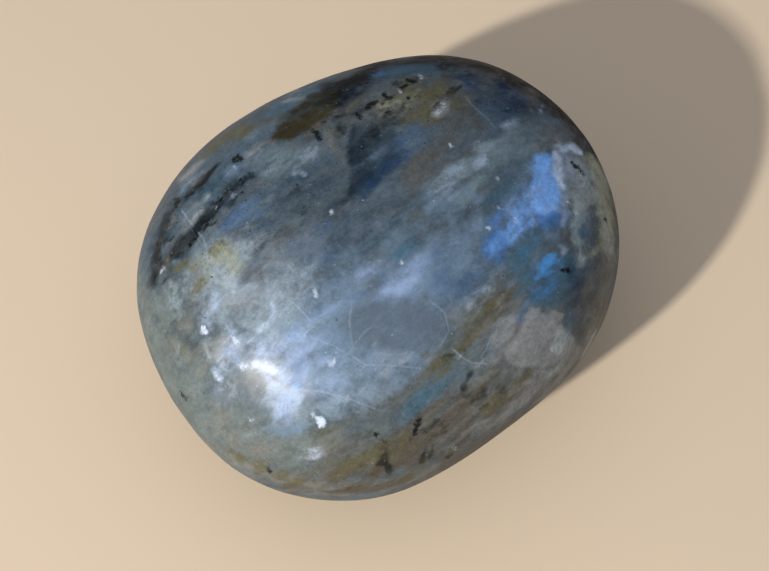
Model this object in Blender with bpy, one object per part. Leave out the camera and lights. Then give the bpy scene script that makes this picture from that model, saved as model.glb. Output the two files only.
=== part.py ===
"""A tumbled labradorite palm stone: one solid, polished pebble that rests on its flattest side.

The pebble is described from its middle. In each direction the skin lies where a gauge reads one.
The gauge starts as a slightly boxy ellipsoid, and each worn flat then rubs it down from one side.
"""

import math
from typing import NamedTuple

import bmesh
import bpy
from mathutils import Vector

# Driving dimensions, in metres and degrees.
HALF_LENGTH = 0.0300  # middle to end, along X
HALF_WIDTH = 0.0253  # middle to side, along Y
HALF_HEIGHT = 0.0185  # middle to top, along Z
FULLNESS = 2.1  # 2 is a true ellipsoid, and more makes its shoulders fuller
SEAT_DEPTH = 0.0169  # middle to the flat spot that it rests on

# The finish.
BODY_COLOUR = (0.105, 0.125, 0.118)  # grey-green feldspar, in linear light
POLISH_ROUGHNESS = 0.16

# The mesh.
CELLS_PER_SIDE = 26  # on each of the six sides of the ball
QUARTER_TURN = math.pi / 4


class Flat(NamedTuple):
    """A side that tumbling wore flatter: where it faces, how far out it lies and how crisp it is."""

    heading: float  # degrees round Z from +X
    rise: float  # degrees above the horizon
    distance: float  # metres from the middle
    crispness: float  # 12 fades away softly, and 24 ends in a tight shoulder


class Hollow(NamedTuple):
    """A shallow dish where a flake came away before the polish."""

    heading: float
    rise: float
    reach: float  # degrees from its middle to its lip
    depth: float  # metres


# Softest first, because a crisp flat also trims the shoulders of the soft ones.
FLATS = (
    Flat(heading=69, rise=29, distance=0.0244, crispness=12),
    Flat(heading=159, rise=-15, distance=0.0290, crispness=12),
    Flat(heading=-26, rise=10, distance=0.0334, crispness=12),
    Flat(heading=-172, rise=-26, distance=0.0327, crispness=14),
    Flat(heading=0, rise=-90, distance=0.0176, crispness=14),
    Flat(heading=-98, rise=-19, distance=0.0242, crispness=24),
)
HOLLOW = Hollow(heading=-34, rise=30, reach=8, depth=0.0003)


def pointing(heading, rise):
    """The unit vector that faces a heading and a rise."""
    turn, lift = math.radians(heading), math.radians(rise)
    level = math.cos(lift)
    return Vector((level * math.cos(turn), level * math.sin(turn), math.sin(lift)))


def worn_gauge(direction):
    """The gauge's reading at a unit direction's tip: one over the distance to the skin."""
    shares = (
        abs(direction.x) / HALF_LENGTH,
        abs(direction.y) / HALF_WIDTH,
        abs(direction.z) / HALF_HEIGHT,
    )
    gauge = sum(share**FULLNESS for share in shares) ** (1 / FULLNESS)
    for flat in FLATS:
        facing = max(0.0, direction.dot(pointing(flat.heading, flat.rise)))
        pressed = facing / flat.distance
        gauge = (gauge**flat.crispness + pressed**flat.crispness) ** (1 / flat.crispness)
    return gauge


def dish_depth(direction):
    """How deep the hollow is in a direction: smooth in its middle and at its lip."""
    middle = pointing(HOLLOW.heading, HOLLOW.rise)
    inside = 1 - direction.angle(middle) / math.radians(HOLLOW.reach)
    blend = max(0.0, inside)
    return HOLLOW.depth * blend * blend * (3 - 2 * blend)


def skin_point(direction):
    """The point of the skin in a direction from the pebble's middle."""
    return direction * (1 / worn_gauge(direction) - dish_depth(direction))


def even_direction(corner):
    """A point of the two-unit cube, spread so that its squares stay alike on the ball."""
    return Vector(math.tan(QUARTER_TURN * value) for value in corner).normalized()


def pebble_mesh():
    """The closed skin: a finely divided cube, blown out to the pebble."""
    mesh = bmesh.new()
    bmesh.ops.create_cube(mesh, size=2.0)
    bmesh.ops.subdivide_edges(mesh, edges=mesh.edges[:], cuts=CELLS_PER_SIDE - 1, use_grid_fill=True)
    for vertex in mesh.verts:
        vertex.co = skin_point(even_direction(vertex.co))
    return mesh


def cut_seat(mesh):
    """Slices the underside off level, and closes the cut with one flat face."""
    everything = mesh.verts[:] + mesh.edges[:] + mesh.faces[:]
    sliced = bmesh.ops.bisect_plane(
        mesh,
        geom=everything,
        dist=1e-6,
        plane_co=(0, 0, -SEAT_DEPTH),
        plane_no=(0, 0, -1),
        clear_outer=True,
    )
    rim = [item for item in sliced["geom_cut"] if isinstance(item, bmesh.types.BMEdge)]
    bmesh.ops.holes_fill(mesh, edges=rim, sides=len(rim))


def stand_on_origin(mesh):
    """Moves the pebble so that the origin is under the middle of its box, on its seat."""
    spans = [sorted(vertex.co[axis] for vertex in mesh.verts) for axis in range(3)]
    middles = [(span[0] + span[-1]) / 2 for span in spans]
    bmesh.ops.translate(mesh, verts=mesh.verts, vec=(-middles[0], -middles[1], -spans[2][0]))


def polished_labradorite():
    """The stone's own finish, as one plain colour with a polish."""
    material = bpy.data.materials.new("polished_labradorite")
    material.use_nodes = True
    surface = material.node_tree.nodes["Principled BSDF"]
    surface.inputs["Base Color"].default_value = (*BODY_COLOUR, 1.0)
    surface.inputs["Roughness"].default_value = POLISH_ROUGHNESS
    surface.inputs["Metallic"].default_value = 0.0
    return material


def add_stone():
    """Makes the one object: the whole stone."""
    shape = pebble_mesh()
    cut_seat(shape)
    stand_on_origin(shape)
    bmesh.ops.triangulate(shape, faces=shape.faces[:])
    bmesh.ops.recalc_face_normals(shape, faces=shape.faces[:])
    mesh = bpy.data.meshes.new("labradorite_stone")
    shape.to_mesh(mesh)
    shape.free()
    mesh.shade_smooth()
    mesh.materials.append(polished_labradorite())
    stone = bpy.data.objects.new("labradorite_stone", mesh)
    bpy.context.scene.collection.objects.link(stone)
    return stone


for leftover in list(bpy.data.objects):
    bpy.data.objects.remove(leftover)
stone = add_stone()
size_text = " x ".join(f"{side * 1000:.1f}" for side in stone.dimensions)
print(f"{stone.name}: {len(stone.data.polygons)} triangles, {size_text} mm")
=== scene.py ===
# %% [markdown]
# # A tumbled labradorite
#
# Labradorite is a feldspar. This piece was tumbled with grit until it became a smooth pebble, and then
# polished. The lesson loads the imported solid, blows a fine skin to the same form, lays the stone's own
# marks on it one region at a time, with a painted glint, painted sheen and painted shade where the lamp
# falls, and stands it on a plain pale table in soft light.

import math
from typing import NamedTuple

import bpy
import numpy as np
from mathutils import Matrix, Vector


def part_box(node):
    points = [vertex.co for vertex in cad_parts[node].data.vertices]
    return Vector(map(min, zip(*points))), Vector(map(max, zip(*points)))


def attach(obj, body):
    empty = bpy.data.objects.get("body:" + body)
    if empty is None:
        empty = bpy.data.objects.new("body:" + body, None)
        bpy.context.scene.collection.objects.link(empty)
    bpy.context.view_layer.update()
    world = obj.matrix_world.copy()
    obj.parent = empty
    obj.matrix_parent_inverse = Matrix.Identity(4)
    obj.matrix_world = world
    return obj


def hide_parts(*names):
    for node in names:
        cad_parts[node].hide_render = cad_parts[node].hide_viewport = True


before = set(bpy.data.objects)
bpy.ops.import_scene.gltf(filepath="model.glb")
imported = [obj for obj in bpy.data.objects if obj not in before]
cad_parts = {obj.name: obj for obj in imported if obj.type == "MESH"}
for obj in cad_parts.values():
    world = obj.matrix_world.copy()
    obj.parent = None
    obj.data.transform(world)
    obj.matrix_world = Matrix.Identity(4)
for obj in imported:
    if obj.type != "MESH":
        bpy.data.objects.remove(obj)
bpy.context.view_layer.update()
stone_low, stone_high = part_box("labradorite_stone")
stone_size = stone_high - stone_low
print("the solid measures", [round(side * 1000, 1) for side in stone_size], "mm")

# %% [markdown]
# Node trees are long to write link by link. One small class wraps a socket, so that a sum in Python adds
# the Math node for it, and one method adds any other node from its type, its settings and its inputs.

# %% A short way to write node trees
class Value:
    """One output socket. Sums on it add Math nodes, and plain numbers may stand on either side."""

    def __init__(self, tree, socket):
        self.tree = tree
        self.socket = socket

    def __add__(self, other):
        return self.tree.math("ADD", self, other)

    def __sub__(self, other):
        return self.tree.math("SUBTRACT", self, other)

    def __rsub__(self, other):
        return self.tree.math("SUBTRACT", other, self)

    def __mul__(self, other):
        return self.tree.math("MULTIPLY", self, other)

    def __truediv__(self, other):
        return self.tree.math("DIVIDE", self, other)

    def __rtruediv__(self, other):
        return self.tree.math("DIVIDE", other, self)

    def __pow__(self, other):
        return self.tree.math("POWER", self, other)

    def __abs__(self):
        return self.tree.math("ABSOLUTE", self)

    __radd__ = __add__
    __rmul__ = __mul__


class Tree:
    """A node tree: one method adds any node, and short ones add the kinds that are used most."""

    def __init__(self, nodes):
        self.nodes = nodes

    def add(self, kind, settings=None, inputs=None):
        """Adds one node and returns its outputs by name or number."""
        node = self.nodes.nodes.new(kind)
        for name, setting in (settings or {}).items():
            setattr(node, name, setting)
        for name, value in (inputs or {}).items():
            if isinstance(value, Value):
                self.nodes.links.new(value.socket, node.inputs[name])
            else:
                node.inputs[name].default_value = value
        return Outputs(self, node)

    def math(self, operation, *values):
        return self.add("ShaderNodeMath", {"operation": operation}, dict(enumerate(values)))[0]

    def vector(self, operation, *values):
        return self.add("ShaderNodeVectorMath", {"operation": operation}, dict(enumerate(values)))[0]

    def dot(self, one, other):
        return self.add("ShaderNodeVectorMath", {"operation": "DOT_PRODUCT"}, {0: one, 1: other})["Value"]

    def scale(self, vector, amount):
        return self.add("ShaderNodeVectorMath", {"operation": "SCALE"}, {0: vector, "Scale": amount})[0]

    def join(self, x, y, z):
        return self.add("ShaderNodeCombineXYZ", None, {"X": x, "Y": y, "Z": z})[0]

    def split(self, vector):
        return self.add("ShaderNodeSeparateXYZ", None, {0: vector})

    def ease(self, value, low, high, bottom=0.0, top=1.0):
        """A soft step: the bottom where the value is low, and the top where it is high."""
        inputs = {"Value": value, "From Min": low, "From Max": high, "To Min": bottom, "To Max": top}
        return self.add("ShaderNodeMapRange", {"interpolation_type": "SMOOTHSTEP"}, inputs)[0]


class Outputs:
    """A node's outputs, each wrapped when it is asked for."""

    def __init__(self, tree, node):
        self.tree = tree
        self.node = node

    def __getitem__(self, key):
        return Value(self.tree, self.node.outputs[key])


def show(thing):
    """Puts a new object into the scene."""
    bpy.context.scene.collection.objects.link(thing)
    return thing


# %% [markdown]
# The pebble's form follows a rule. From its middle, the skin in each direction lies where a gauge reads
# one. The gauge starts as a slightly boxy ellipsoid, and each worn flat rubs it down from one side. It
# could be sculpted by hand, but a rule keeps it true to the solid. The rule is a chain of sums, so Geometry
# Nodes can blow a finely divided cube out to it, much finer than the solid's own faces. Tumbling also
# leaves a barely felt waviness, which breaks up the reflections.

# %% The form's dimensions
MM = 0.001
HALF_SIZE = Vector((30.0, 25.3, 18.5)) * MM
FULLNESS = 2.1
SEAT_DEPTH = 16.9 * MM  # from the middle to the flat spot that the stone rests on
CELLS_PER_SIDE = 128
WAVINESS = 0.2 * MM  # the whole range of its waves
WAVES_PER_METRE = 190.0
WAVE_SEED = 4.0


def pointing(heading, rise):
    """The unit vector that faces a heading round Z and a rise above the horizon, in degrees."""
    turn, lift = math.radians(heading), math.radians(rise)
    return Vector((math.cos(lift) * math.cos(turn), math.cos(lift) * math.sin(turn), math.sin(lift)))


class Flat(NamedTuple):
    """A side that tumbling wore flatter."""

    name: str
    facing: Vector
    distance: float  # from the middle
    crispness: float


FLATS = (
    Flat("Far Shoulder", pointing(69, 29), 24.4 * MM, 12),
    Flat("Left End", pointing(159, -15), 29.0 * MM, 12),
    Flat("Right End", pointing(-26, 10), 33.4 * MM, 12),
    Flat("Left Heel", pointing(-172, -26), 32.7 * MM, 14),
    Flat("Seat", pointing(0, -90), 17.6 * MM, 14),
    Flat("Near Flank", pointing(-98, -19), 24.2 * MM, 24),
)


class Hollow(NamedTuple):
    """A dish so shallow that only the reflections show it."""

    name: str
    facing: Vector
    reach: float  # from its middle to its lip, seen from the pebble's middle
    depth: float


HOLLOWS = (
    Hollow("Right Dish", pointing(-34, 30), math.radians(8), 0.3 * MM),
    Hollow("Left Dish", pointing(-162.4, 21.5), math.radians(17), 0.36 * MM),
)
print(len(FLATS), "worn flats and", len(HOLLOWS), "shallow dishes")

# %% The rule as a node tree
form_nodes = bpy.data.node_groups.new("pebble form", "GeometryNodeTree")
form = Tree(form_nodes)
form_inputs = {}


def form_input(name, kind, value):
    """A named size of the pebble, on the group's own face."""
    socket = form_nodes.interface.new_socket(name, in_out="INPUT", socket_type="NodeSocket" + kind)
    form_inputs[socket.identifier] = value


form_nodes.interface.new_socket("Geometry", in_out="OUTPUT", socket_type="NodeSocketGeometry")
form_input("Half Size", "Vector", HALF_SIZE)
form_input("Fullness", "Float", FULLNESS)
form_input("Seat Depth", "Float", SEAT_DEPTH)
form_input("Cells Per Side", "Int", CELLS_PER_SIDE)
form_input("Waviness", "Float", WAVINESS)
form_input("Waves Per Metre", "Float", WAVES_PER_METRE)
form_input("Seed", "Float", WAVE_SEED)
for flat in FLATS:
    form_input(flat.name + " Facing", "Vector", flat.facing)
    form_input(flat.name + " Distance", "Float", flat.distance)
    form_input(flat.name + " Crispness", "Float", flat.crispness)
for hollow in HOLLOWS:
    form_input(hollow.name + " Facing", "Vector", hollow.facing)
    form_input(hollow.name + " Reach", "Float", hollow.reach)
    form_input(hollow.name + " Depth", "Float", hollow.depth)
size = form.add("NodeGroupInput")
print(len(form_inputs), "named inputs")

# %% The gauge
def worn_gauge(direction):
    """One over the distance to the skin in a direction."""
    shares = form.split(form.vector("DIVIDE", form.vector("ABSOLUTE", direction), size["Half Size"]))
    powers = [shares[axis] ** size["Fullness"] for axis in "XYZ"]
    gauge = (powers[0] + powers[1] + powers[2]) ** (1 / size["Fullness"])
    for flat in FLATS:
        facing = form.dot(direction, size[flat.name + " Facing"])
        pressed = form.math("MAXIMUM", facing, 0.0) / size[flat.name + " Distance"] / gauge
        crispness = size[flat.name + " Crispness"]
        gauge = gauge * (1 + pressed**crispness) ** (1 / crispness)
    return gauge


def hollow_depth(direction, name):
    """How deep a shallow dish is in a direction."""
    facing = form.dot(direction, size[name + " Facing"])
    angle = form.math("ARCCOSINE", form.math("MINIMUM", facing, 1.0))
    inside = form.math("MAXIMUM", 1 - angle / size[name + " Reach"], 0.0)
    return inside * inside * (3 - 2 * inside) * size[name + " Depth"]


def waviness(place):
    """The low, soft waves that tumbling leaves."""
    settings = {"noise_dimensions": "4D"}
    values = {"Vector": place, "W": size["Seed"], "Scale": size["Waves Per Metre"], "Detail": 1.5}
    noise = form.add("ShaderNodeTexNoise", settings, values)[0]
    return (noise - 0.5) * size["Waviness"]


# %% [markdown]
# A cube is divided finely, and each of its points is moved out or in along its own direction until the
# gauge reads one. The cube's squares are first spread with a tangent, so that they come out alike on the
# pebble. Whatever would lie below the seat is pressed level with it.

# %% Blow the cube out to the pebble
corners = size["Cells Per Side"] + 1
cube = form.add(
    "GeometryNodeMeshCube",
    None,
    {"Size": (2, 2, 2), "Vertices X": corners, "Vertices Y": corners, "Vertices Z": corners},
)
spread = form.vector("TANGENT", form.scale(form.add("GeometryNodeInputPosition")[0], math.pi / 4))
direction = form.vector("NORMALIZE", spread)
reach = 1 / worn_gauge(direction)
for hollow in HOLLOWS:
    reach = reach - hollow_depth(direction, hollow.name)
smooth_place = form.scale(direction, reach)
worn_place = form.vector("ADD", smooth_place, form.scale(direction, waviness(smooth_place)))
sides = form.split(worn_place)
seated_place = form.join(sides["X"], sides["Y"], form.math("MAXIMUM", sides["Z"], -1 * size["Seat Depth"]))
skin = form.add("GeometryNodeSetPosition", None, {"Geometry": cube["Mesh"], "Position": seated_place})[0]
smooth = form.add("GeometryNodeSetShadeSmooth", None, {"Geometry": skin})[0]
real = form.add("GeometryNodeRealizeInstances", None, {"Geometry": smooth})[0]
polish = bpy.data.materials.new("polished_labradorite_stone")
finished = form.add("GeometryNodeSetMaterial", None, {"Geometry": real, "Material": polish})[0]
form.add("NodeGroupOutput", None, {0: finished})


def mesh_from_tree(name, tree_group, inputs):
    """Runs a Geometry Nodes tree on an empty mesh, and keeps what it makes as a plain mesh object."""
    maker = show(bpy.data.objects.new(name + "_maker", bpy.data.meshes.new(name + "_maker")))
    modifier = maker.modifiers.new("form", "NODES")
    modifier.node_group = tree_group
    for identifier, value in inputs.items():
        modifier[identifier] = value
    made = maker.evaluated_get(bpy.context.evaluated_depsgraph_get())
    piece = show(bpy.data.objects.new(name, bpy.data.meshes.new_from_object(made)))
    bpy.data.objects.remove(maker)
    return piece


stone = mesh_from_tree("polished_stone", form_nodes, form_inputs)
print("the skin has", len(stone.data.polygons), "squares")

# %% [markdown]
# The solid says where the stone stands, so the skin is centred on the solid's box and set on its seat. It
# is never larger than the solid.

# %% Set the skin in the solid's place
def vertex_rows(mesh, what):
    """Every vertex's place, called co, or its normal, as rows of x, y and z."""
    rows = np.empty(len(mesh.vertices) * 3, np.float32)
    mesh.vertices.foreach_get(what, rows)
    return rows.reshape(-1, 3).astype(float)


blown = vertex_rows(stone.data, "co")
blown_low, blown_high = Vector(blown.min(axis=0)), Vector(blown.max(axis=0))
fit = min(1.0, *(stone_size[axis] / (blown_high - blown_low)[axis] for axis in range(3)))
shift = (stone_low + stone_high) / 2 - fit * (blown_low + blown_high) / 2
stone.data.transform(Matrix.Translation(shift) @ Matrix.Scale(fit, 4))
stone.data.update()
middle = shift  # the cube was blown up round its own middle, so that is where the shift took it
skin_places = vertex_rows(stone.data, "co")
print("fitted by", round(fit, 5), "with its middle at", [round(side / MM, 2) for side in middle], "mm")

# %% [markdown]
# The camera comes before the marks, because the marks on the side that it sees are placed by where they
# show in its picture.

# %% The camera
PICTURE_WIDE, PICTURE_HIGH = 769, 571
AZIMUTH, ELEVATION = math.radians(-45), math.radians(58)
FIELD_OF_VIEW = math.radians(35)
DISTANCE = 140.7 * MM
AIM = middle + Vector((-1.7, -2.4, 0.0)) * MM

toward_camera = Vector((
    math.sin(AZIMUTH) * math.cos(ELEVATION),
    -math.cos(AZIMUTH) * math.cos(ELEVATION),
    math.sin(ELEVATION),
))
picture_right = Vector((math.cos(AZIMUTH), math.sin(AZIMUTH), 0.0))
picture_up = toward_camera.cross(picture_right)
eye = AIM + toward_camera * DISTANCE

lens = bpy.data.cameras.new("view")
lens.sensor_width = 36.0  # full frame, in millimetres
lens.lens = lens.sensor_width / 2 / math.tan(FIELD_OF_VIEW / 2)
lens.clip_start = 1 * MM
camera = show(bpy.data.objects.new("view", lens))
camera.location = eye
camera.rotation_euler = toward_camera.to_track_quat("Z", "Y").to_euler()
bpy.context.scene.camera = camera
print("the camera stands", round(eye.z / MM), "mm above the table")

# %% [markdown]
# A polished stone shows its surroundings, so the light is part of its look. The table is a plain pale
# sheet that throws warm light up. A small lamp gives the stone its one tight glint and its shadow, a wide
# one fills the shade but stays out of the reflections, and the room is brighter overhead than low down.

# %% The table
TABLE_COLOUR = (0.61, 0.492, 0.361, 1.0)
TABLE_HALF = 3.0
TABLE_LEVEL = -0.02 * MM  # a hair below the seat, so that the two faces don't flicker


def add_table():
    """A plain pale table top, far larger than the stone."""
    sheet = bpy.data.meshes.new("table")
    corners = [(x * TABLE_HALF, y * TABLE_HALF, TABLE_LEVEL) for x, y in ((-1, -1), (1, -1), (1, 1), (-1, 1))]
    sheet.from_pydata(corners, [], [(0, 1, 2, 3)])
    table = show(bpy.data.objects.new("table", sheet))
    paint = bpy.data.materials.new("pale_table")
    paint.use_nodes = True
    surface = paint.node_tree.nodes["Principled BSDF"]
    surface.inputs["Base Color"].default_value = TABLE_COLOUR
    surface.inputs["Roughness"].default_value = 0.8
    table.data.materials.append(paint)


add_table()
print("a table", 2 * TABLE_HALF, "m wide")

# %% The lamps and the room
ROOM_COLOUR = (0.86, 0.90, 1.0, 1.0)
DUSK_HEIGHT, DUSK_LEVEL = -0.1, 0.06  # the room low down
SKY_HEIGHT, SKY_LEVEL = 0.9, 0.42  # the room overhead


def add_lamp(name, heading, rise, distance, width, power, colour):
    """A square soft light that faces the stone: its angles are in degrees, its sizes in metres."""
    light = bpy.data.lights.new(name, "AREA")
    light.size = width
    light.energy = power
    light.color = colour
    lamp = show(bpy.data.objects.new(name, light))
    facing = pointing(heading, rise)
    lamp.location = middle + facing * distance
    lamp.rotation_euler = facing.to_track_quat("Z", "Y").to_euler()
    return lamp


add_lamp("key", heading=184.9, rise=30, distance=0.8, width=0.03, power=8.2, colour=(1.0, 0.965, 0.91))
fill = add_lamp("fill", heading=200, rise=80, distance=1.2, width=2.0, power=5.0, colour=(0.96, 0.97, 1.0))
fill.visible_glossy = False
world = bpy.data.worlds.new("room")
world.use_nodes = True
sky = Tree(world.node_tree)
height = sky.split(sky.add("ShaderNodeTexCoord")["Generated"])["Z"]
brightness = sky.ease(height, DUSK_HEIGHT, SKY_HEIGHT, DUSK_LEVEL, SKY_LEVEL)
room = world.node_tree.nodes["Background"]
room.inputs["Color"].default_value = ROOM_COLOUR
world.node_tree.links.new(brightness.socket, room.inputs["Strength"])
bpy.context.scene.world = world
bpy.context.scene.view_settings.view_transform = "Standard"
print("two lamps, in a room that brightens from", DUSK_LEVEL, "to", SKY_LEVEL)

# %% [markdown]
# Every mineral and tint in the stone is one finish, and its marks are laid one by one. They could be painted
# on an image, but an image blurs close up and stretches over a pebble. Here a stroke is a line with a half
# width at each of its points, and a patch is an outline. Both give each vertex a number: one in the middle
# of the mark, one half at its edge and less beyond. The material turns that number into a crisp or a hazy
# edge, so the marks stay sharp however near the view comes.

# %% The finishes, from the deepest to the topmost
class Finish(NamedTuple):
    """How one mineral or tint looks, and how its marks end."""

    colour: tuple  # as a screen shows it, from 0 to 255
    fade: float  # how much of the number an edge takes to fade: 1 is hazy and 0.4 is crisp
    ragged: float  # how far the grain moves the edge
    grain: str  # which of the grains moves it
    thin: float  # how see-through its thinnest places are


FINISHES = {
    "sage": Finish((93, 103, 103), 1.0, 0.6, "clouds", 0.2),
    # chalk: pale skin, which near the glint also carries painted sheen
    "chalk": Finish((124, 138, 149), 1.0, 0.8, "clouds", 0.3),
    "pale": Finish((98, 115, 123), 1.0, 0.9, "wisps", 0.4),
    "slate": Finish((42, 57, 68), 1.0, 0.9, "wisps", 0.35),
    "umber": Finish((75, 76, 74), 1.0, 0.9, "wisps", 0.35),
    "stone": Finish((106, 107, 102), 1.0, 0.9, "wisps", 0.4),
    "haze": Finish((98, 119, 141), 1.0, 0.6, "clouds", 0.25),
    "steel": Finish((64, 87, 116), 1.0, 0.9, "wisps", 0.3),
    "shade": Finish((82, 95, 109), 1.0, 0.7, "clouds", 0.2),
    "brown": Finish((74, 68, 58), 1.0, 1.0, "streaks", 0.35),
    "olive": Finish((85, 83, 62), 1.0, 0.9, "streaks", 0.4),
    "straw": Finish((141, 144, 120), 1.0, 0.9, "clouds", 0.4),
    "ink": Finish((14, 22, 32), 1.0, 0.9, "wisps", 0.4),
    "gold": Finish((46, 41, 20), 0.9, 0.8, "wisps", 0.15),
    "teal": Finish((58, 88, 106), 1.0, 1.0, "wisps", 0.4),
    "navy": Finish((30, 50, 74), 0.9, 0.8, "wisps", 0.4),
    "frost": Finish((124, 128, 131), 0.9, 0.9, "wisps", 0.35),
    "deep_blue": Finish((62, 102, 154), 1.0, 0.7, "wisps", 0.2),
    "flash": Finish((110, 157, 222), 1.0, 0.5, "clouds", 0.15),
    "azure": Finish((70, 136, 200), 0.9, 1.1, "wisps", 0.4),
    "glass": Finish((145, 157, 160), 1.0, 0.8, "clouds", 0.25),
    # milk: milky skin, and also the painted halo and lower lobe of the lamp's glint
    "milk": Finish((136, 152, 172), 1.0, 0.9, "wisps", 0.4),
    # glow: the stone's bluish haze, and also painted sheen round the lamp's glint
    "glow": Finish((130, 151, 184), 1.0, 0.6, "wisps", 0.3),
    "soot": Finish((20, 24, 26), 0.8, 1.0, "clouds", 0.4),
    "pepper": Finish((30, 36, 40), 0.4, 1.2, "specks", 0.0),
    "fleck": Finish((12, 15, 17), 0.6, 0.7, "grit", 0.1),
    # gleam: mostly painted glints of the lamp, and a few bright grains and arcs
    "gleam": Finish((188, 206, 232), 1.0, 0.6, "wisps", 0.2),
    # spark: white grains, and painted glints where chips and cleavage faces catch the lamp
    "spark": Finish((176, 188, 206), 0.8, 0.45, "grit", 0.2),
}
print(len(FINISHES), "finishes")

# %% [markdown]
# A mark is placed by pixels, so every vertex needs its place in the camera's picture. Its depth counts as
# a third direction, because a mark would otherwise smear round the rim and on down the far side. Vertices
# that face away from the camera are never chosen to carry the middle of a mark.

# %% Every vertex's place in the camera's picture
DEPTH_SHARE = 0.4  # how much of a step in depth counts as distance from a mark
SEEN_ABOVE = 0.02  # a vertex that faces the camera by more than this is seen
NO_MARK = -1.0

pixels_per_tangent = PICTURE_WIDE / 2 / math.tan(FIELD_OF_VIEW / 2)
pixel = DISTANCE / pixels_per_tangent
stone_normals = vertex_rows(stone.data, "normal")
sight = skin_places - np.array(eye)
sight_depth = -(sight @ np.array(toward_camera))
picture_places = np.column_stack((
    PICTURE_WIDE / 2 + pixels_per_tangent * (sight @ np.array(picture_right)) / sight_depth,
    PICTURE_HIGH / 2 - pixels_per_tangent * (sight @ np.array(picture_up)) / sight_depth,
    sight_depth * DEPTH_SHARE / pixel,
))
facing_camera = -np.einsum("ij,ij->i", stone_normals, sight) / np.linalg.norm(sight, axis=1)
seen = np.flatnonzero(facing_camera > SEEN_ABOVE)
mark_fields = {finish: np.full(len(skin_places), NO_MARK) for finish in FINISHES}
print("one pixel is", round(pixel / MM, 3), "mm, and", len(seen), "vertices are seen")

# %% The leaves of the crystal
LEAF_ALONG = Vector((0.927, -0.156, 0.341)).normalized()  # the streaks run this way through the stone
LEAF_ACROSS = Vector((0.005, 0.914, 0.406)).normalized()  # and the leaves face this way
LEAF_SLANT = math.atan2(LEAF_ALONG @ picture_up, LEAF_ALONG @ picture_right)
LEAF_STRAY = 0.15  # how far a strewn stroke turns from the leaves, in radians
chance = np.random.default_rng(11)
print("the streaks slant", round(math.degrees(LEAF_SLANT)), "degrees in the picture")

# %% Strokes
mark_names = []


def line_field(places, start, end):
    """One on the line between two points, one half at its half width, and less further out."""
    run = end[:3] - start[:3]
    share = np.clip((places - start[:3]) @ run / max(run @ run, 1e-9), 0, 1)
    gap = np.linalg.norm(places - start[:3] - share[:, None] * run, axis=1)
    return 1 - gap / (2 * (start[3] + share * (end[3] - start[3])))


def lay_line(finish, strength, places, points):
    """Adds a line of x, y, z and half width points to a finish."""
    field = mark_fields[finish]
    for start, end in zip(points, points[1:] or points):
        np.maximum(field, strength * line_field(places, start, end), out=field)


def on_stone(x, y):
    """The place on the seen side that shows at a point of the picture."""
    gaps = (picture_places[seen, 0] - x) ** 2 + (picture_places[seen, 1] - y) ** 2
    return np.array((x, y, picture_places[seen[gaps.argmin()], 2]))


def stroke(name, finish, strength, *points):
    """Lays a stroke: its points are picture x, picture y and half width."""
    placed = [np.append(on_stone(x, y), half_width) for x, y, half_width in points]
    lay_line(finish, strength, picture_places, placed)
    mark_names.append(name)


# %% Patches
PAST_RIM_FADE = 3  # how fast a patch ends where the skin turns away from the camera


def outline_depth(ring, places):
    """How deep places of the picture are inside an outline, in pixels: less than zero is outside."""
    inside = np.zeros(len(places), bool)
    gap = np.full(len(places), np.inf)
    for start, end in zip(ring, np.roll(ring, -1, axis=0)):
        run = end - start
        share = np.clip((places - start) @ run / (run @ run), 0, 1)
        gap = np.minimum(gap, np.linalg.norm(places - start - share[:, None] * run, axis=1))
        crosses = (places[:, 1] > start[1]) != (places[:, 1] > end[1])
        reach = start[0] + (places[:, 1] - start[1]) * run[0] / (run[1] or 1e-9)
        inside ^= crosses & (places[:, 0] < reach)
    return np.where(inside, gap, -gap)


def patch(name, finish, strength, softness, *corners):
    """Lays a patch: its corners are picture x and y, and its edge fades this many pixels each way."""
    depth = outline_depth(np.array(corners, float), picture_places[:, :2]) / (2 * softness)
    past_rim = PAST_RIM_FADE * np.maximum(0, -facing_camera)
    field = strength * np.minimum(1, 0.5 + depth) - past_rim
    np.maximum(mark_fields[finish], field, out=mark_fields[finish])
    mark_names.append(name)


# %% Strewn strokes
def scatter(name, finish, strength, count, longest, widest, *corners):
    """Strews strokes along the leaves inside an outline: longest and widest are in pixels."""
    ring = np.array(corners, float)
    placed = 0
    while placed < count:
        x, y = chance.uniform(ring.min(axis=0), ring.max(axis=0))
        if outline_depth(ring, np.array([(x, y)]))[0] < 0:
            continue
        reach = longest * chance.uniform(0.3, 1.0) / 2
        turn = LEAF_SLANT + chance.normal(0, LEAF_STRAY)
        run = np.array((math.cos(turn), -math.sin(turn))) * reach
        width = widest * chance.uniform(0.5, 1.0)
        spots = ((x - run[0], y - run[1]), (x, y), (x + run[0], y + run[1]))
        widths = (width * 0.6, width, width * 0.6)
        line = [np.append(on_stone(*spot), half) for spot, half in zip(spots, widths)]
        lay_line(finish, strength * chance.uniform(0.7, 1.0), picture_places, line)
        placed += 1
    mark_names.append(name)


def count_marks():
    """Says how many marks the cells have laid."""
    print(len(mark_names), "marks so far")


# %% [markdown]
# A crack that healed inside the crystal is finer than the mesh. So a vein is stored as two numbers for
# each vertex: how far to its side the vein runs, and how strongly it shows there. The material draws the
# thin line itself, where the first number passes zero.

# %% Veins
VEIN_REACH = 4.5  # how far from a vein, in pixels, its own numbers still count
VEIN_END = 3.0  # how far past its last point it fades out
vein_gap = np.full(len(skin_places), VEIN_REACH)
vein_side = np.full(len(skin_places), VEIN_REACH)
vein_strength = np.zeros(len(skin_places))


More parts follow.
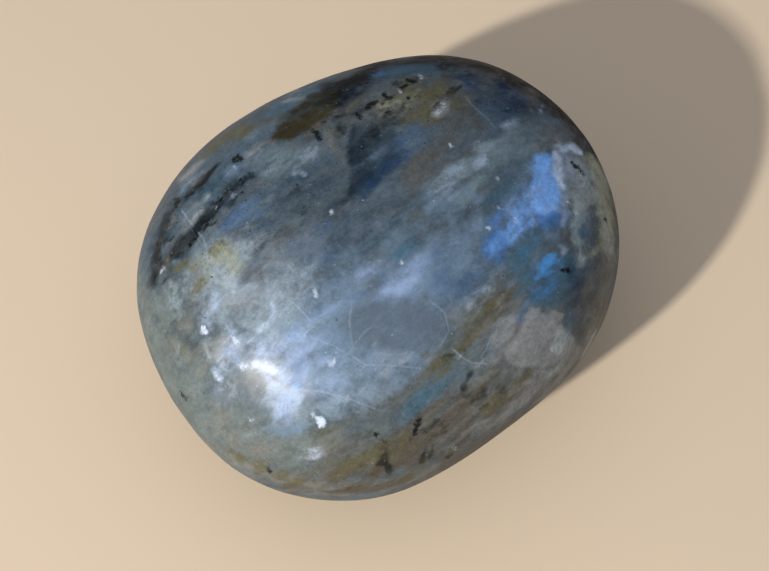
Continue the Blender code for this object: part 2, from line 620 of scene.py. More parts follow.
def vein(name, strength, *points):
    """Lays a hair-thin healed crack: its points are picture x and y."""
    placed = [on_stone(x, y) for x, y in points]
    last = len(placed) - 2
    for number, (start, end) in enumerate(zip(placed, placed[1:])):
        run = end - start
        share = (picture_places - start) @ run / (run @ run)
        nearest = start + np.clip(share, 0, 1)[:, None] * run
        gap = np.linalg.norm(picture_places - nearest, axis=1)
        across = (picture_places[:, 0] - start[0]) * run[1] - (picture_places[:, 1] - start[1]) * run[0]
        past = np.zeros(len(gap))
        if number == 0:
            past = np.maximum(past, -share)
        if number == last:
            past = np.maximum(past, share - 1)
        fade = np.clip(1 - past * np.linalg.norm(run) / VEIN_END, 0, 1)
        nearer = gap < vein_gap
        vein_gap[nearer] = gap[nearer]
        vein_side[nearer] = (across / np.linalg.norm(run[:2]))[nearer]
        vein_strength[nearer] = (strength * fade * np.clip(VEIN_REACH - gap, 0, 1))[nearer]
    mark_names.append(name)


# %% [markdown]
# The left end is the lightest skin of the near side, and near the glint a painted sheen lightens it further.
# Two black streaks cross it, both broken into grains, and a third runs along the rim. A yellow cloud and a
# dark wedge lie below them.

# %% The left end's skin
patch("left flank", "sage", 0.95, 20, (128, 262), (158, 286), (180, 292), (198, 318), (208, 345),
      (222, 378), (250, 404), (285, 424), (340, 440), (380, 434), (392, 444), (380, 460), (330, 470),
      (250, 470), (185, 440), (130, 340))
# These two patches are lighter skin with a painted sheen from the lamp's glint laid over it.
patch("light skin and painted sheen by the cheek", "chalk", 0.85, 14, (200, 262), (222, 240), (262, 236), (310, 262),
      (330, 300), (322, 340), (300, 352), (262, 346), (234, 326), (206, 312), (192, 288))
patch("light skin and painted sheen low down", "chalk", 0.6, 14, (292, 398), (306, 372), (350, 352), (392, 352),
      (396, 380), (372, 404), (330, 420), (300, 424))
patch("pale shoulder", "pale", 0.7, 9, (262, 180), (254, 168), (268, 152), (292, 140), (316, 142),
      (320, 152), (300, 166), (284, 178))
stroke("pale shoulder, upper", "pale", 0.65, (248, 138, 6), (268, 126, 6), (286, 120, 4))
stroke("slate clouds", "slate", 0.7, (262, 198, 7), (278, 188, 7), (292, 180, 6))
patch("lit field left of the middle", "shade", 0.75, 9, (286, 244), (300, 232), (320, 226), (334, 236),
      (330, 250), (310, 262), (290, 262))
stroke("cloud on the shoulder", "milk", 0.9, (303, 159, 4), (311, 153, 5), (317, 148, 3))
stroke("squiggle", "milk", 0.4, (293, 173, 1.8), (299, 172, 1.8), (305, 175, 1.8))
stroke("frost on the shoulder", "frost", 0.4, (250, 154, 5), (260, 147, 6), (270, 142, 5))
stroke("olive on the rim", "olive", 0.66, (204, 158, 5), (214, 149, 7), (226, 140, 8), (242, 131, 6))
stroke("umber along the rim", "umber", 0.7, (240, 132, 7), (258, 123, 7), (276, 118, 6))
stroke("frost down the flank's edge", "frost", 0.56, (192, 290, 5), (200, 300, 6), (208, 306, 5))
stroke("frost by the cheek", "frost", 0.5, (222, 300, 6), (238, 300, 7), (250, 306, 6))
count_marks()

# %% The yellow cloud and the wedge
stroke("yellow cloud", "straw", 0.72, (211, 262, 6), (220, 256, 8), (228, 256, 8), (234, 263, 7),
       (226, 271, 6))
stroke("yellow cloud, olive core", "olive", 1.0, (213, 254, 4), (219, 248, 6), (225, 248, 5))
stroke("yellow cloud, foot", "olive", 0.8, (197, 290, 5), (203, 282, 6), (208, 272, 6))
vein("vein under the streak", 0.45, (216, 268), (224, 275), (232, 284))
stroke("milk by the yellow cloud", "milk", 0.85, (214, 306, 5), (216, 299, 6), (216, 292, 5))
stroke("milk above the yellow cloud", "milk", 0.4, (212, 270, 5), (222, 280, 5), (236, 288, 4),
       (254, 288, 3))
stroke("glass by the yellow cloud", "glass", 0.8, (212, 276, 5), (218, 282, 7), (228, 284, 5))
stroke("sooty wisp in the wedge", "soot", 0.4, (248, 256, 2.4), (256, 251, 2.6), (264, 246, 2))
stroke("brown in the wedge", "brown", 0.2, (246, 280, 5), (252, 268, 6), (258, 258, 5))
patch("umber wedge", "umber", 0.66, 8, (240, 286), (244, 262), (252, 248), (266, 238), (280, 230),
      (290, 224), (284, 238), (272, 256), (262, 276), (250, 288))
stroke("slate right of the wedge", "slate", 0.7, (268, 238, 6), (282, 232, 7))
stroke("slate by the wedge", "slate", 0.8, (246, 236, 6), (258, 228, 9), (272, 222, 7))
stroke("shade in the wedge", "shade", 0.6, (246, 276, 6), (258, 262, 8), (268, 252, 7))
count_marks()

# %% The long black streak
patch("pale skin below the long streak", "pale", 0.6, 6, (180, 262), (196, 240), (212, 222), (224, 226),
      (214, 250), (200, 268), (188, 276))
stroke("steel under the streak", "steel", 0.62, (222, 230, 6), (234, 219, 9), (248, 209, 9),
       (258, 198, 6))
stroke("long streak's dark halo", "slate", 0.85, (160, 260, 6), (180, 243, 7), (200, 224, 8),
       (222, 202, 11), (240, 185, 9), (252, 176, 6))
stroke("long streak, foot", "soot", 0.8, (162, 264, 4), (171, 256, 5), (180, 247, 6), (187, 239, 6))
stroke("long streak, middle", "soot", 1.0, (187, 238, 4), (196, 229, 3.4), (204, 220, 3.4), (212, 214, 4))
stroke("long streak, head", "soot", 0.95, (210, 215, 4), (218, 208, 5), (226, 203, 5), (232, 201, 3))
stroke("head's upper blot", "soot", 1.0, (224, 194, 5), (228, 191, 6), (234, 187, 5), (238, 184, 4))
stroke("head's left blot", "soot", 0.9, (213, 204, 3.4), (220, 203, 4))
stroke("long streak, tip", "soot", 0.95, (243, 180, 3), (247, 178, 3.4), (252, 176, 2))
stroke("slate over the streak's middle", "slate", 0.9, (206, 210, 6), (222, 196, 9), (238, 184, 8))
stroke("hazy grains in the streak", "haze", 0.8, (221, 210, 2.4), (226, 206, 2.4), (229, 200, 2.4))
stroke("dark foot of the streak", "slate", 0.9, (168, 270, 4), (176, 264, 6), (186, 257, 6))
stroke("white grains in the streak", "gleam", 0.6, (232, 196, 2), (233, 194, 2))
stroke("black blot", "fleck", 1.0, (234, 160, 2.6), (238, 157, 3.4), (241, 160, 2.6))
stroke("pale dot by the blot", "spark", 0.6, (234, 167, 1.8), (235, 168, 1.8))
stroke("haze under the blot", "haze", 0.4, (224, 178, 5), (232, 171, 6), (240, 166, 4))
stroke("umber under the long streak", "umber", 0.8, (164, 268, 5), (170, 256, 5), (180, 246, 4))
stroke("hazy grain by the streak", "haze", 0.8, (174, 262, 2.4), (177, 261, 2.4))
stroke("olive spot by the streak", "olive", 0.8, (176, 268, 4), (184, 266, 5), (192, 268, 4))
stroke("stone under the streak", "stone", 0.7, (190, 262, 5), (197, 270, 6), (200, 282, 6))
stroke("glass under the streaks", "glass", 0.45, (174, 286, 5), (184, 282, 6))
vein("vein across the streak", 0.7, (182, 211), (187, 219), (195, 227), (203, 238), (207, 248),
     (208, 260))
count_marks()

# %% The thin black streak and the rim
patch("frost between the streaks", "frost", 0.42, 6, (176, 240), (182, 218), (190, 206), (200, 200),
      (210, 196), (206, 212), (194, 226), (184, 242))
stroke("lit grains over the thin streak", "haze", 0.5, (176, 198, 3), (184, 188, 4), (194, 178, 3))
stroke("slate above the streak", "slate", 0.9, (192, 206, 4), (202, 197, 6), (212, 186, 6), (222, 176, 5))
stroke("thin streak", "soot", 0.85, (188, 198, 3), (196, 190, 4.6), (203, 182, 4.6), (209, 173, 3),
       (219, 163, 2))
stroke("thin streak's foot", "fleck", 1.0, (177, 205, 2.4), (177, 200, 3))
stroke("thin streak's halo", "slate", 0.6, (176, 206, 6), (198, 186, 7), (218, 166, 5))
stroke("frost over the dark streaks", "frost", 0.5, (192, 182, 4), (200, 176, 5), (208, 168, 4))
stroke("pale rim above the thin streak", "frost", 0.6, (182, 178, 5), (192, 170, 5), (202, 162, 4))
stroke("rim shadow", "slate", 1.0, (152, 284, 5), (155, 262, 8), (162, 236, 9), (172, 212, 8),
       (188, 188, 6))
stroke("rim streak, black", "soot", 0.85, (156, 262, 4), (158, 246, 4), (163, 230, 4), (170, 214, 3.6))
stroke("rim blot", "soot", 1.0, (154, 284, 4), (154, 270, 4))
stroke("white grain by the rim", "spark", 0.6, (161, 272, 2), (163, 268, 2))
count_marks()

# %% Grains and wisps at the left end
scatter("steel mottles under the streak", "steel", 0.6, 14, 14, 4, (214, 232), (236, 206), (262, 190),
        (276, 196), (256, 222), (232, 240))
scatter("glassy mottles between the streaks", "glass", 0.3, 12, 12, 3, (180, 236), (196, 208), (216, 184),
        (226, 186), (206, 208), (190, 236))
patch("pepper in the upper left", "pepper", 0.48, 26, (160, 240), (200, 180), (260, 150), (330, 130),
      (350, 200), (300, 250), (230, 250), (190, 300), (160, 290))
scatter("pale wisps, upper left", "chalk", 0.5, 22, 26, 3.2, (186, 250), (214, 196), (256, 158),
        (316, 146), (300, 180), (240, 230), (206, 266))
scatter("dark wisps, upper left", "slate", 0.7, 24, 26, 3.2, (170, 260), (200, 200), (244, 168),
        (330, 150), (344, 210), (280, 236), (220, 262))
scatter("sooty bits on the streak", "soot", 0.85, 12, 10, 2.6, (196, 234), (218, 196), (250, 170),
        (246, 190), (216, 222))
scatter("sooty bits on the rim", "soot", 0.7, 10, 16, 2.6, (150, 290), (154, 250), (176, 208), (200, 180),
        (186, 206), (170, 250), (160, 288))
scatter("black grains on the streak", "fleck", 0.8, 34, 6, 2.6, (170, 256), (196, 226), (218, 194),
        (250, 172), (252, 180), (232, 208), (204, 232), (178, 256))
scatter("black grains by the rim", "fleck", 0.66, 26, 8, 2.4, (150, 286), (152, 250), (170, 214),
        (190, 188), (196, 192), (176, 224), (166, 262), (158, 288))
scatter("stone grains by the rim", "stone", 0.7, 14, 6, 2.6, (156, 280), (160, 240), (180, 204),
        (190, 196), (174, 250), (168, 276))
scatter("teal between the streaks", "teal", 0.7, 12, 14, 3.4, (186, 216), (204, 184), (226, 170),
        (216, 196))
scatter("grains on the streak", "spark", 0.5, 6, 2, 1.8, (210, 216), (222, 196), (244, 184), (236, 202))
count_marks()

# %% [markdown]
# The top is nearly black along the far rim, and there painted shade deepens the dark on the side away from
# the lamp. A gold patch with a turquoise edge starts there, black ticks cross the olive plain behind it, and
# a navy corner with fine grains ends it.

# %% The dark top and the gold patch
patch("dark top", "ink", 0.85, 8, (322, 86), (340, 74), (372, 60), (430, 50), (500, 58), (548, 88),
      (590, 136), (600, 150), (588, 150), (552, 110), (524, 90), (480, 76), (440, 68), (404, 70),
      (380, 78), (366, 88), (352, 98), (338, 106), (326, 106))
stroke("black along the top", "soot", 0.95, (314, 96, 5), (328, 89, 7), (345, 82, 8), (360, 77, 7),
       (374, 72, 4))
# Painted shade: the black and the ink along the far rim darken the side that faces away from the lamp.
stroke("painted black shade along the far rim", "soot", 0.8, (466, 64, 6), (490, 69, 7), (512, 78, 7), (536, 92, 6),
       (560, 113, 6), (580, 135, 5))
stroke("painted shade along the far rim", "ink", 1.0, (462, 57, 6), (484, 61, 8), (520, 78, 9), (556, 106, 9),
       (590, 146, 8))
patch("top plain", "umber", 0.8, 10, (330, 130), (346, 108), (370, 96), (404, 86), (440, 78), (470, 84),
      (478, 108), (466, 126), (440, 132), (420, 126), (385, 124), (352, 128), (340, 150), (332, 156))
stroke("teal rim", "teal", 0.8, (372, 76, 4), (392, 71, 5), (412, 69, 5), (430, 68, 4))
stroke("blue in the teal rim", "deep_blue", 0.45, (371, 76, 4), (380, 73, 4))
stroke("turquoise patch", "teal", 1.0, (262, 117, 4), (276, 109, 5), (290, 100, 7), (302, 92, 7),
       (312, 86, 5))
stroke("light in the turquoise", "glass", 0.36, (289, 99, 4), (297, 94, 5), (305, 89, 4))
patch("gold patch", "gold", 1.0, 4, (268, 141), (276, 126), (290, 112), (306, 100), (322, 93), (336, 91),
      (338, 103), (326, 118), (310, 130), (292, 140))
stroke("brown under the gold", "brown", 0.9, (306, 132, 5), (319, 122, 6), (330, 112, 5))
stroke("gold patch's dark heart", "soot", 0.8, (316, 104, 6), (326, 98, 7), (336, 94, 6))
stroke("gold's dark back", "soot", 0.5, (296, 114, 4), (306, 107, 5), (318, 100, 5))
stroke("gold patch's olive tail", "gold", 0.6, (266, 142, 4), (280, 139, 6), (296, 137, 6), (308, 134, 5))
stroke("umber by the edge", "umber", 0.6, (326, 134, 6), (336, 146, 6), (342, 160, 4))
stroke("stone by the comma", "stone", 0.5, (322, 126, 5), (328, 136, 5), (334, 148, 4))
patch("black under the top", "soot", 0.4, 8, (350, 130), (372, 120), (398, 116), (408, 122), (396, 134),
      (380, 144), (352, 150))
stroke("dark behind the edge", "ink", 0.6, (354, 127, 5), (352, 138, 5), (350, 152, 4))
stroke("comma of black", "fleck", 1.0, (313, 131, 2), (317, 134, 2.6), (320, 139, 2.2))
stroke("dark spot by the edge", "soot", 0.66, (339, 127, 4), (343, 133, 5))
count_marks()

# %% The olive plain and the navy corner
stroke("olive band", "olive", 0.9, (408, 99, 8), (422, 95, 10), (438, 91, 10), (450, 90, 7))
patch("olive plain", "olive", 0.6, 12, (374, 104), (404, 88), (446, 80), (462, 96), (444, 122),
      (404, 124))
stroke("light in the olive plain", "straw", 0.5, (386, 102, 6), (402, 98, 8), (420, 90, 6))
stroke("stone below the olive", "stone", 0.5, (382, 114, 7), (400, 110, 7), (420, 106, 6))
stroke("frosted spot", "frost", 0.9, (436, 113, 4), (441, 108, 6), (446, 104, 4))
stroke("white grains in the spot", "spark", 0.5, (437, 114, 2.4), (441, 108, 3), (444, 103, 2.2))
stroke("dark by the ticks", "ink", 0.5, (354, 116, 4), (362, 110, 5))
stroke("haze before the corner", "haze", 0.5, (456, 80, 4), (466, 80, 5), (474, 84, 4))
patch("navy corner", "navy", 0.62, 8, (462, 78), (486, 76), (516, 84), (549, 106), (560, 118), (540, 116),
      (519, 119), (499, 123), (484, 118), (473, 102))
stroke("steel haze at the corner", "steel", 0.5, (472, 86, 5), (486, 92, 7), (500, 98, 6))
stroke("steel grains in the corner", "steel", 0.7, (499, 91, 2.4), (508, 93, 3), (516, 97, 3),
       (525, 103, 2.4))
stroke("umber by the corner", "umber", 0.8, (462, 106, 6), (470, 116, 7), (480, 126, 6))
stroke("haze in the corner", "haze", 0.62, (500, 92, 3), (512, 94, 4), (524, 99, 3))
vein("vein at the corner", 0.3, (466, 96), (472, 104), (480, 112), (488, 120), (494, 126))
count_marks()

# %% The black ticks
TICKS = (
    # strength, and the points of the stroke
    (1.0, (407, 80, 1.9), (412, 81, 2.2), (416, 82, 1.9)),
    (1.0, (401, 88, 1.9), (404, 87, 2), (407, 85, 1.9)),
    (1.0, (384, 95, 1.9), (387, 98, 2.2), (391, 98, 1.9)),
    (1.0, (367, 108, 2.2), (371, 104, 2.8), (376, 102, 2.2)),
    (0.9, (357, 114, 2), (360, 117, 2.4)),
    (0.8, (386, 111, 1.8), (389, 112, 1.8)),
    (0.85, (408, 98, 1.8), (409, 98, 1.8)),
    (0.8, (362, 85, 2), (367, 83, 2)),
)
for number, (strength, *points) in enumerate(TICKS):
    stroke(f"tick {number}", "fleck", strength, *points)
print(len(TICKS), "ticks")

# %% Wisps and pepper at the top
scatter("dark wisps at the top", "soot", 0.6, 22, 24, 3, (322, 122), (340, 100), (390, 84), (440, 76),
        (460, 92), (410, 124), (350, 130))
scatter("pale wisps at the top", "pale", 0.6, 18, 20, 2.6, (340, 118), (380, 92), (450, 84), (460, 122),
        (380, 124))
scatter("olive wisps at the top", "olive", 0.6, 16, 24, 3, (350, 104), (400, 84), (460, 80), (452, 118),
        (400, 116))
patch("pepper at the top", "pepper", 0.6, 16, (300, 130), (330, 92), (400, 74), (460, 76), (470, 120),
      (400, 150), (330, 150))
scatter("grains in the corner", "spark", 0.42, 8, 3, 1.8, (470, 84), (500, 76), (548, 104), (540, 118),
        (490, 116))
count_marks()

# %% [markdown]
# A slate streak with one sharp edge drops from the top. Beside it lie umber and slate streaks, and then a
# grey band and two pale diagonals that point at the flash.

# %% The slate streak and its field
patch("slate behind the edge", "slate", 1.0, 5, (348, 140), (354, 126), (372, 122), (390, 128),
      (404, 140), (398, 154), (384, 176), (366, 190), (350, 206), (347, 170))
patch("navy streak", "navy", 0.8, 6, (358, 198), (362, 184), (378, 168), (390, 152), (402, 144),
      (410, 148), (402, 164), (390, 178), (374, 192), (362, 204))
stroke("deepest slate", "ink", 0.5, (356, 148, 6), (366, 152, 8), (360, 168, 7), (353, 186, 6))
stroke("haze in the slate", "haze", 0.4, (356, 168, 3), (370, 156, 4), (384, 148, 3))
patch("steel slope", "steel", 0.7, 8, (388, 150), (398, 136), (412, 124), (430, 124), (428, 138),
      (414, 150), (398, 160))
patch("slate field", "slate", 0.72, 10, (266, 214), (276, 196), (300, 168), (330, 158), (346, 168),
      (347, 200), (336, 214), (312, 208), (292, 224))
patch("field under the slate", "slate", 0.5, 12, (304, 248), (330, 222), (352, 210), (388, 184),
      (420, 186), (410, 222), (366, 250), (330, 258))
stroke("dark wedge under the edge", "slate", 0.8, (326, 244, 4), (336, 230, 6), (346, 216, 6))
patch("dark tip of the edge", "ink", 0.52, 3, (349, 138), (364, 136), (368, 152), (362, 166), (376, 170),
      (374, 178), (364, 187), (352, 196), (343, 207), (342, 204), (348, 188), (350, 176), (348, 164))
stroke("dark wisps in the slate", "soot", 0.38, (286, 212, 5), (302, 200, 7), (318, 187, 6))
stroke("dark wisps beside the edge", "soot", 0.34, (320, 170, 5), (331, 161, 6), (341, 158, 4))
stroke("steel beside the edge", "steel", 0.55, (316, 227, 4), (323, 235, 5), (330, 227, 4))
patch("umber streaks", "umber", 0.75, 7, (398, 196), (402, 172), (418, 150), (440, 132), (466, 130),
      (458, 148), (440, 160), (424, 176), (412, 194))
stroke("shade in the field", "shade", 0.7, (352, 238, 6), (366, 230, 8), (378, 224, 6))
count_marks()

# %% The grey band and the pale diagonals
patch("teal left of the flash", "teal", 0.42, 10, (478, 205), (490, 176), (520, 165), (526, 184),
      (510, 202))
patch("slate under the grey band", "slate", 0.5, 9, (430, 232), (452, 212), (476, 192), (500, 184),
      (496, 204), (470, 222))
patch("grey band", "pale", 0.8, 8, (474, 160), (484, 142), (505, 128), (530, 119), (556, 119), (574, 134),
      (566, 148), (538, 152), (516, 160), (494, 172))
stroke("haze left of the flash's top", "haze", 0.8, (516, 190, 5), (525, 176, 6), (530, 164, 4))
stroke("stone above the flash", "stone", 0.6, (540, 150, 4), (552, 148, 5), (560, 146, 4))
patch("umber end of the band", "umber", 0.55, 8, (536, 132), (556, 128), (576, 140), (556, 149),
      (536, 149))
stroke("slate at the far rim", "slate", 0.9, (566, 126, 6), (584, 144, 6), (596, 162, 5))
patch("pale diagonal", "pale", 1.0, 3.5, (424, 187), (440, 178), (456, 166), (470, 158), (484, 154),
      (488, 160), (474, 172), (456, 182), (440, 191), (428, 195))
patch("second pale diagonal", "pale", 0.85, 5, (450, 212), (460, 194), (474, 178), (486, 168), (486, 182),
      (474, 198), (462, 214))
stroke("bright end of the diagonal", "milk", 0.75, (476, 165, 3), (481, 161, 3.6), (485, 158, 2.4))
stroke("pale along the diagonal", "milk", 0.45, (432, 186, 4), (446, 178, 4), (460, 169, 4))
stroke("foot of the diagonal", "milk", 0.46, (428, 194, 5), (440, 188, 7), (450, 182, 5))
stroke("foot of the diagonal, lower", "milk", 0.5, (436, 202, 5), (446, 194, 6))
stroke("haze under the diagonals", "haze", 0.55, (428, 208, 6), (442, 201, 8), (462, 192, 7),
       (478, 198, 6))
stroke("frost in the band", "frost", 0.45, (536, 144, 5), (548, 138, 6), (560, 138, 4))
stroke("frost beside the diagonals", "frost", 0.5, (468, 146, 5), (476, 141, 6), (486, 138, 5))
stroke("pale arc at the corner", "milk", 0.42, (502, 127, 2.6), (511, 123, 2.6), (520, 120, 2.6))
stroke("milk beside the diagonals", "milk", 0.36, (476, 140, 5), (484, 142, 5))
count_marks()

# %% [markdown]
# The middle is a milky blue haze that light seems to float in. A rounded patch of slate lies in it, and
# healed cracks as fine as hairs cross it.

# %% The hazy middle
patch("middle haze", "haze", 0.7, 22, (286, 330), (310, 290), (350, 262), (400, 246), (450, 222),
      (496, 212), (484, 250), (462, 284), (448, 330), (428, 360), (396, 384), (350, 402), (310, 404),
      (290, 372))
patch("glow above the slate", "glow", 0.5, 8, (378, 300), (386, 284), (398, 272), (406, 262), (418, 256),
      (428, 262), (424, 284), (414, 298))
stroke("heart of the glow", "glow", 0.85, (386, 291, 6), (400, 286, 9), (414, 279, 6))
stroke("shade above the glow", "teal", 0.7, (390, 258, 5), (402, 254, 7), (412, 246, 6))
stroke("shade left of the cloud", "shade", 0.8, (270, 272, 6), (284, 270, 7))
stroke("glow by the second chip", "glow", 0.6, (322, 362, 6), (336, 362, 7), (344, 358, 5))
stroke("glow to the left", "glow", 0.36, (304, 332, 7), (318, 318, 6), (334, 306, 5), (350, 300, 4))
stroke("upper glow", "glow", 0.5, (358, 276, 6), (368, 270, 7), (380, 262, 4))
patch("rounded slate", "shade", 0.85, 5, (340, 322), (352, 308), (366, 301), (384, 299), (402, 298),
      (420, 300), (434, 308), (444, 318), (447, 332), (438, 346), (418, 352), (396, 350), (372, 350),
      (352, 344))
stroke("steel line over the slate", "steel", 0.6, (352, 298, 3), (364, 292, 3.4), (376, 284, 3.4),
       (384, 276, 3))
stroke("frost under the slate", "frost", 0.4, (384, 356, 6), (400, 356, 7), (420, 352, 6))
stroke("frost under the slate, lower", "frost", 0.45, (386, 366, 4), (388, 378, 5))
patch("stone right of the slate", "stone", 0.6, 7, (446, 306), (460, 300), (478, 300), (480, 312),
      (466, 330), (452, 334))
patch("steel below the glow", "steel", 0.5, 10, (432, 272), (452, 258), (484, 252), (496, 266),
      (486, 288), (462, 302), (440, 304), (428, 290))
stroke("haze under the slate", "haze", 0.62, (286, 254, 6), (300, 250, 8), (318, 245, 7))
stroke("round cloud", "frost", 0.3, (234, 300, 5), (248, 290, 5), (262, 300, 5), (262, 320, 5))
patch("umber spot above the plate", "umber", 0.36, 6, (224, 304), (232, 300), (236, 306), (234, 320),
      (232, 330), (226, 322))
stroke("brown spot under the slate", "brown", 0.6, (423, 355, 3), (427, 353, 3))
stroke("milk low in the haze", "milk", 0.36, (342, 398, 6), (354, 394, 7), (366, 390, 5))
stroke("frost under the slate's end", "frost", 0.45, (430, 358, 5), (442, 352, 5))
patch("steel under the haze", "steel", 0.34, 10, (300, 286), (330, 262), (348, 270), (340, 296),
      (312, 316))
stroke("shade above the chip", "shade", 0.6, (306, 283, 5), (314, 282, 6), (322, 284, 4))
stroke("milk by the olive band", "milk", 0.4, (472, 306, 5), (486, 290, 7), (500, 274, 6))
scatter("streaks in the haze", "steel", 0.4, 14, 40, 4, (340, 300), (380, 262), (470, 232), (490, 250),
        (430, 300), (370, 310))
scatter("milky wisps in the haze", "milk", 0.36, 14, 30, 3.4, (330, 350), (360, 330), (430, 340),
        (420, 380), (350, 396))
count_marks()

# %% The fine cracks
vein("bright arc", 0.8, (272, 302), (275, 312), (270, 322), (258, 333))
stroke("bright arc's halo", "milk", 0.9, (273, 303, 3), (275, 313, 4), (268, 324, 4), (256, 334, 4))
stroke("bright arc's light", "gleam", 0.45, (272, 303, 2), (274, 313, 2.4), (268, 323, 2.6),
       (258, 332, 2.2))
vein("crack to the haze", 0.5, (284, 296), (296, 306), (310, 321))
vein("long crack", 0.5, (312, 338), (330, 344), (350, 355), (365, 365), (392, 366), (420, 368))
vein("lower crack", 0.5, (300, 390), (320, 392), (342, 397), (374, 408))
vein("crack down the haze", 0.34, (352, 302), (349, 322), (352, 344))
vein("crack beside it", 0.34, (334, 372), (346, 358), (356, 342), (372, 326))
vein("edge of the rounded slate", 0.36, (430, 301), (444, 313), (449, 330), (441, 346))
count_marks()

# %% [markdown]
# Below the haze the near shoulder faces the light. Here the coat's own glint of the lamp is joined by a
# painted glint: a white core and a lower lobe, with a painted halo and bluish sheen round them and painted
# shade where the glint should fade. White chips and tilted plates catch painted glints too. The flank below
# them is mottled and duller.

# %% The light on the near shoulder
patch("blue beam", "deep_blue", 0.4, 7, (286, 344), (298, 330), (306, 340), (304, 372), (298, 392),
      (290, 384), (288, 366))
stroke("glow in the beam", "glow", 0.5, (302, 330, 5), (306, 346, 5), (306, 380, 6))
patch("glow right of the beam", "glow", 0.45, 10, (312, 372), (330, 364), (344, 372), (340, 390),
      (322, 400), (308, 396))
# Painted sheen and a painted halo round the lamp's glint.
patch("painted sheen over the glint", "glow", 0.8, 9, (276, 356), (284, 340), (300, 328), (326, 332), (330, 346),
      (312, 352), (300, 360), (286, 364))
stroke("painted bright sheen above the glint", "glow", 0.9, (262, 354, 6), (277, 354, 8), (284, 348, 6))
patch("painted sheen round the glint", "glow", 0.6, 8, (254, 346), (274, 338), (288, 350), (290, 376), (284, 386),
      (262, 372))
stroke("painted halo of the glint", "milk", 0.9, (240, 366, 4), (254, 363, 7), (268, 364, 8))
stroke("painted sheen above the glint", "milk", 0.7, (252, 352, 7), (266, 346, 9), (280, 348, 7))
# The painted glint: its white core here, its streak, and its lower lobe below.
stroke("painted glint of the lamp", "gleam", 0.8, (256, 364, 4), (266, 367, 6), (273, 370, 5))
stroke("painted streak of the glint", "glow", 0.8, (264, 374, 3.4), (272, 382, 4), (280, 390, 4))
stroke("painted sheen left of the glint", "glow", 0.5, (228, 352, 6), (240, 362, 6))
stroke("deep blue under the core", "deep_blue", 0.7, (280, 376, 4), (290, 380, 5), (298, 384, 5))
# Painted shade: this darkens the skin where the coat's own glint shines brighter than the stone should.
stroke("painted shade under the glint", "navy", 0.55, (243, 377, 5), (252, 383, 6), (258, 390, 5))
patch("painted lower lobe of the glint", "milk", 1.0, 6, (268, 386), (284, 383), (299, 392), (301, 404), (295, 418),
      (272, 418), (265, 404))
stroke("painted heart of the glint's lobe", "glow", 1.0, (278, 390, 8), (286, 398, 9), (284, 409, 8))
# Painted shade that dims the coat's glint beside the lobe.
stroke("painted shade above the glint's lobe", "slate", 0.62, (238, 384, 5), (246, 390, 6), (250, 398, 5))
stroke("painted sheen under the glint's lobe", "glow", 0.6, (278, 418, 5), (290, 420, 5))
stroke("haze at the lobe's foot", "haze", 0.7, (268, 428, 5), (286, 432, 5), (304, 426, 5))
count_marks()

# %% Chips and plates that catch the light
patch("frosted plate", "frost", 0.66, 6, (206, 342), (222, 332), (238, 344), (238, 358), (222, 364),
      (208, 356))
stroke("lit edge of the plate", "glass", 0.7, (203, 341, 2.4), (205, 349, 2.6), (209, 356, 2.2))
# Painted sheen from the lamp's glint, spread over the skin above the plate.
stroke("painted sheen above the plate", "milk", 0.85, (230, 330, 5), (242, 338, 8), (256, 338, 8),
       (270, 342, 6))
stroke("bright skin under the plate", "milk", 0.5, (222, 368, 4), (230, 368, 5))
stroke("milk by the plate", "milk", 0.7, (240, 346, 6), (246, 354, 6))
# The white of these chips, and of the tilted plate below, is a painted glint of the lamp on their faces.
patch("white chip", "spark", 1.0, 1.4, (200, 334), (202, 325), (206, 326), (209, 333), (204, 335))
stroke("milk by the first chip", "milk", 0.5, (206, 318, 4), (210, 328, 5))
patch("second white chip", "spark", 1.0, 1.4, (230, 336), (234, 336), (241, 344), (237, 345), (232, 341))
stroke("small white chip", "spark", 0.8, (242, 368, 2.4), (245, 365, 2.6))
patch("third chip", "spark", 1.0, 1.6, (317, 417), (323, 416), (326, 420), (325, 427), (320, 429),
      (317, 424))
stroke("small arm of the third chip", "spark", 0.7, (313, 415, 2), (317, 418, 2))
patch("chip in the haze", "spark", 0.8, 1.8, (312, 290), (315, 288), (318, 292), (317, 297), (314, 298))
patch("second chip in the haze", "spark", 0.8, 2, (328, 360), (334, 358), (336, 363), (333, 367),
      (328, 365))
patch("tilted plate", "milk", 0.95, 1.8, (211, 370), (216, 367), (224, 379), (220, 384), (214, 378))
stroke("tilted plate's lines", "spark", 0.66, (214, 371, 1.6), (220, 381, 1.6))
stroke("glass under the tilted plate", "glass", 0.4, (226, 386, 5), (236, 384, 6))
stroke("dark under the tilted plate", "slate", 0.7, (206, 392, 4), (216, 388, 4), (228, 386, 4))
patch("shade under the plates", "shade", 0.66, 9, (206, 384), (232, 378), (252, 388), (258, 404),
      (240, 402), (214, 398))
stroke("azure dot", "azure", 0.9, (293, 388, 2.4), (296, 386, 2.4))
count_marks()

# %% The mottled flank
patch("stone low in the flank", "stone", 0.5, 14, (206, 420), (240, 424), (290, 440), (336, 434),
      (334, 452), (318, 470), (270, 470), (226, 450))
stroke("dark spot in the flank", "slate", 0.9, (176, 334, 5), (187, 340, 6), (196, 350, 4))
stroke("olive in the flank", "olive", 0.42, (176, 345, 4), (184, 350, 6), (190, 356, 4))
stroke("dark spots low in the flank", "fleck", 0.7, (181, 392, 1.8), (186, 399, 2.4))
stroke("dark hazy spots", "slate", 0.5, (156, 318, 4), (166, 330, 4), (174, 320, 3))
stroke("dark hazy streak", "slate", 0.4, (170, 352, 5), (176, 368, 5), (190, 372, 5))
stroke("umber wisp low in the flank", "umber", 0.8, (256, 414, 5), (263, 421, 5))
stroke("grain low in the flank", "spark", 0.7, (250, 418, 1.8), (251, 420, 1.8))
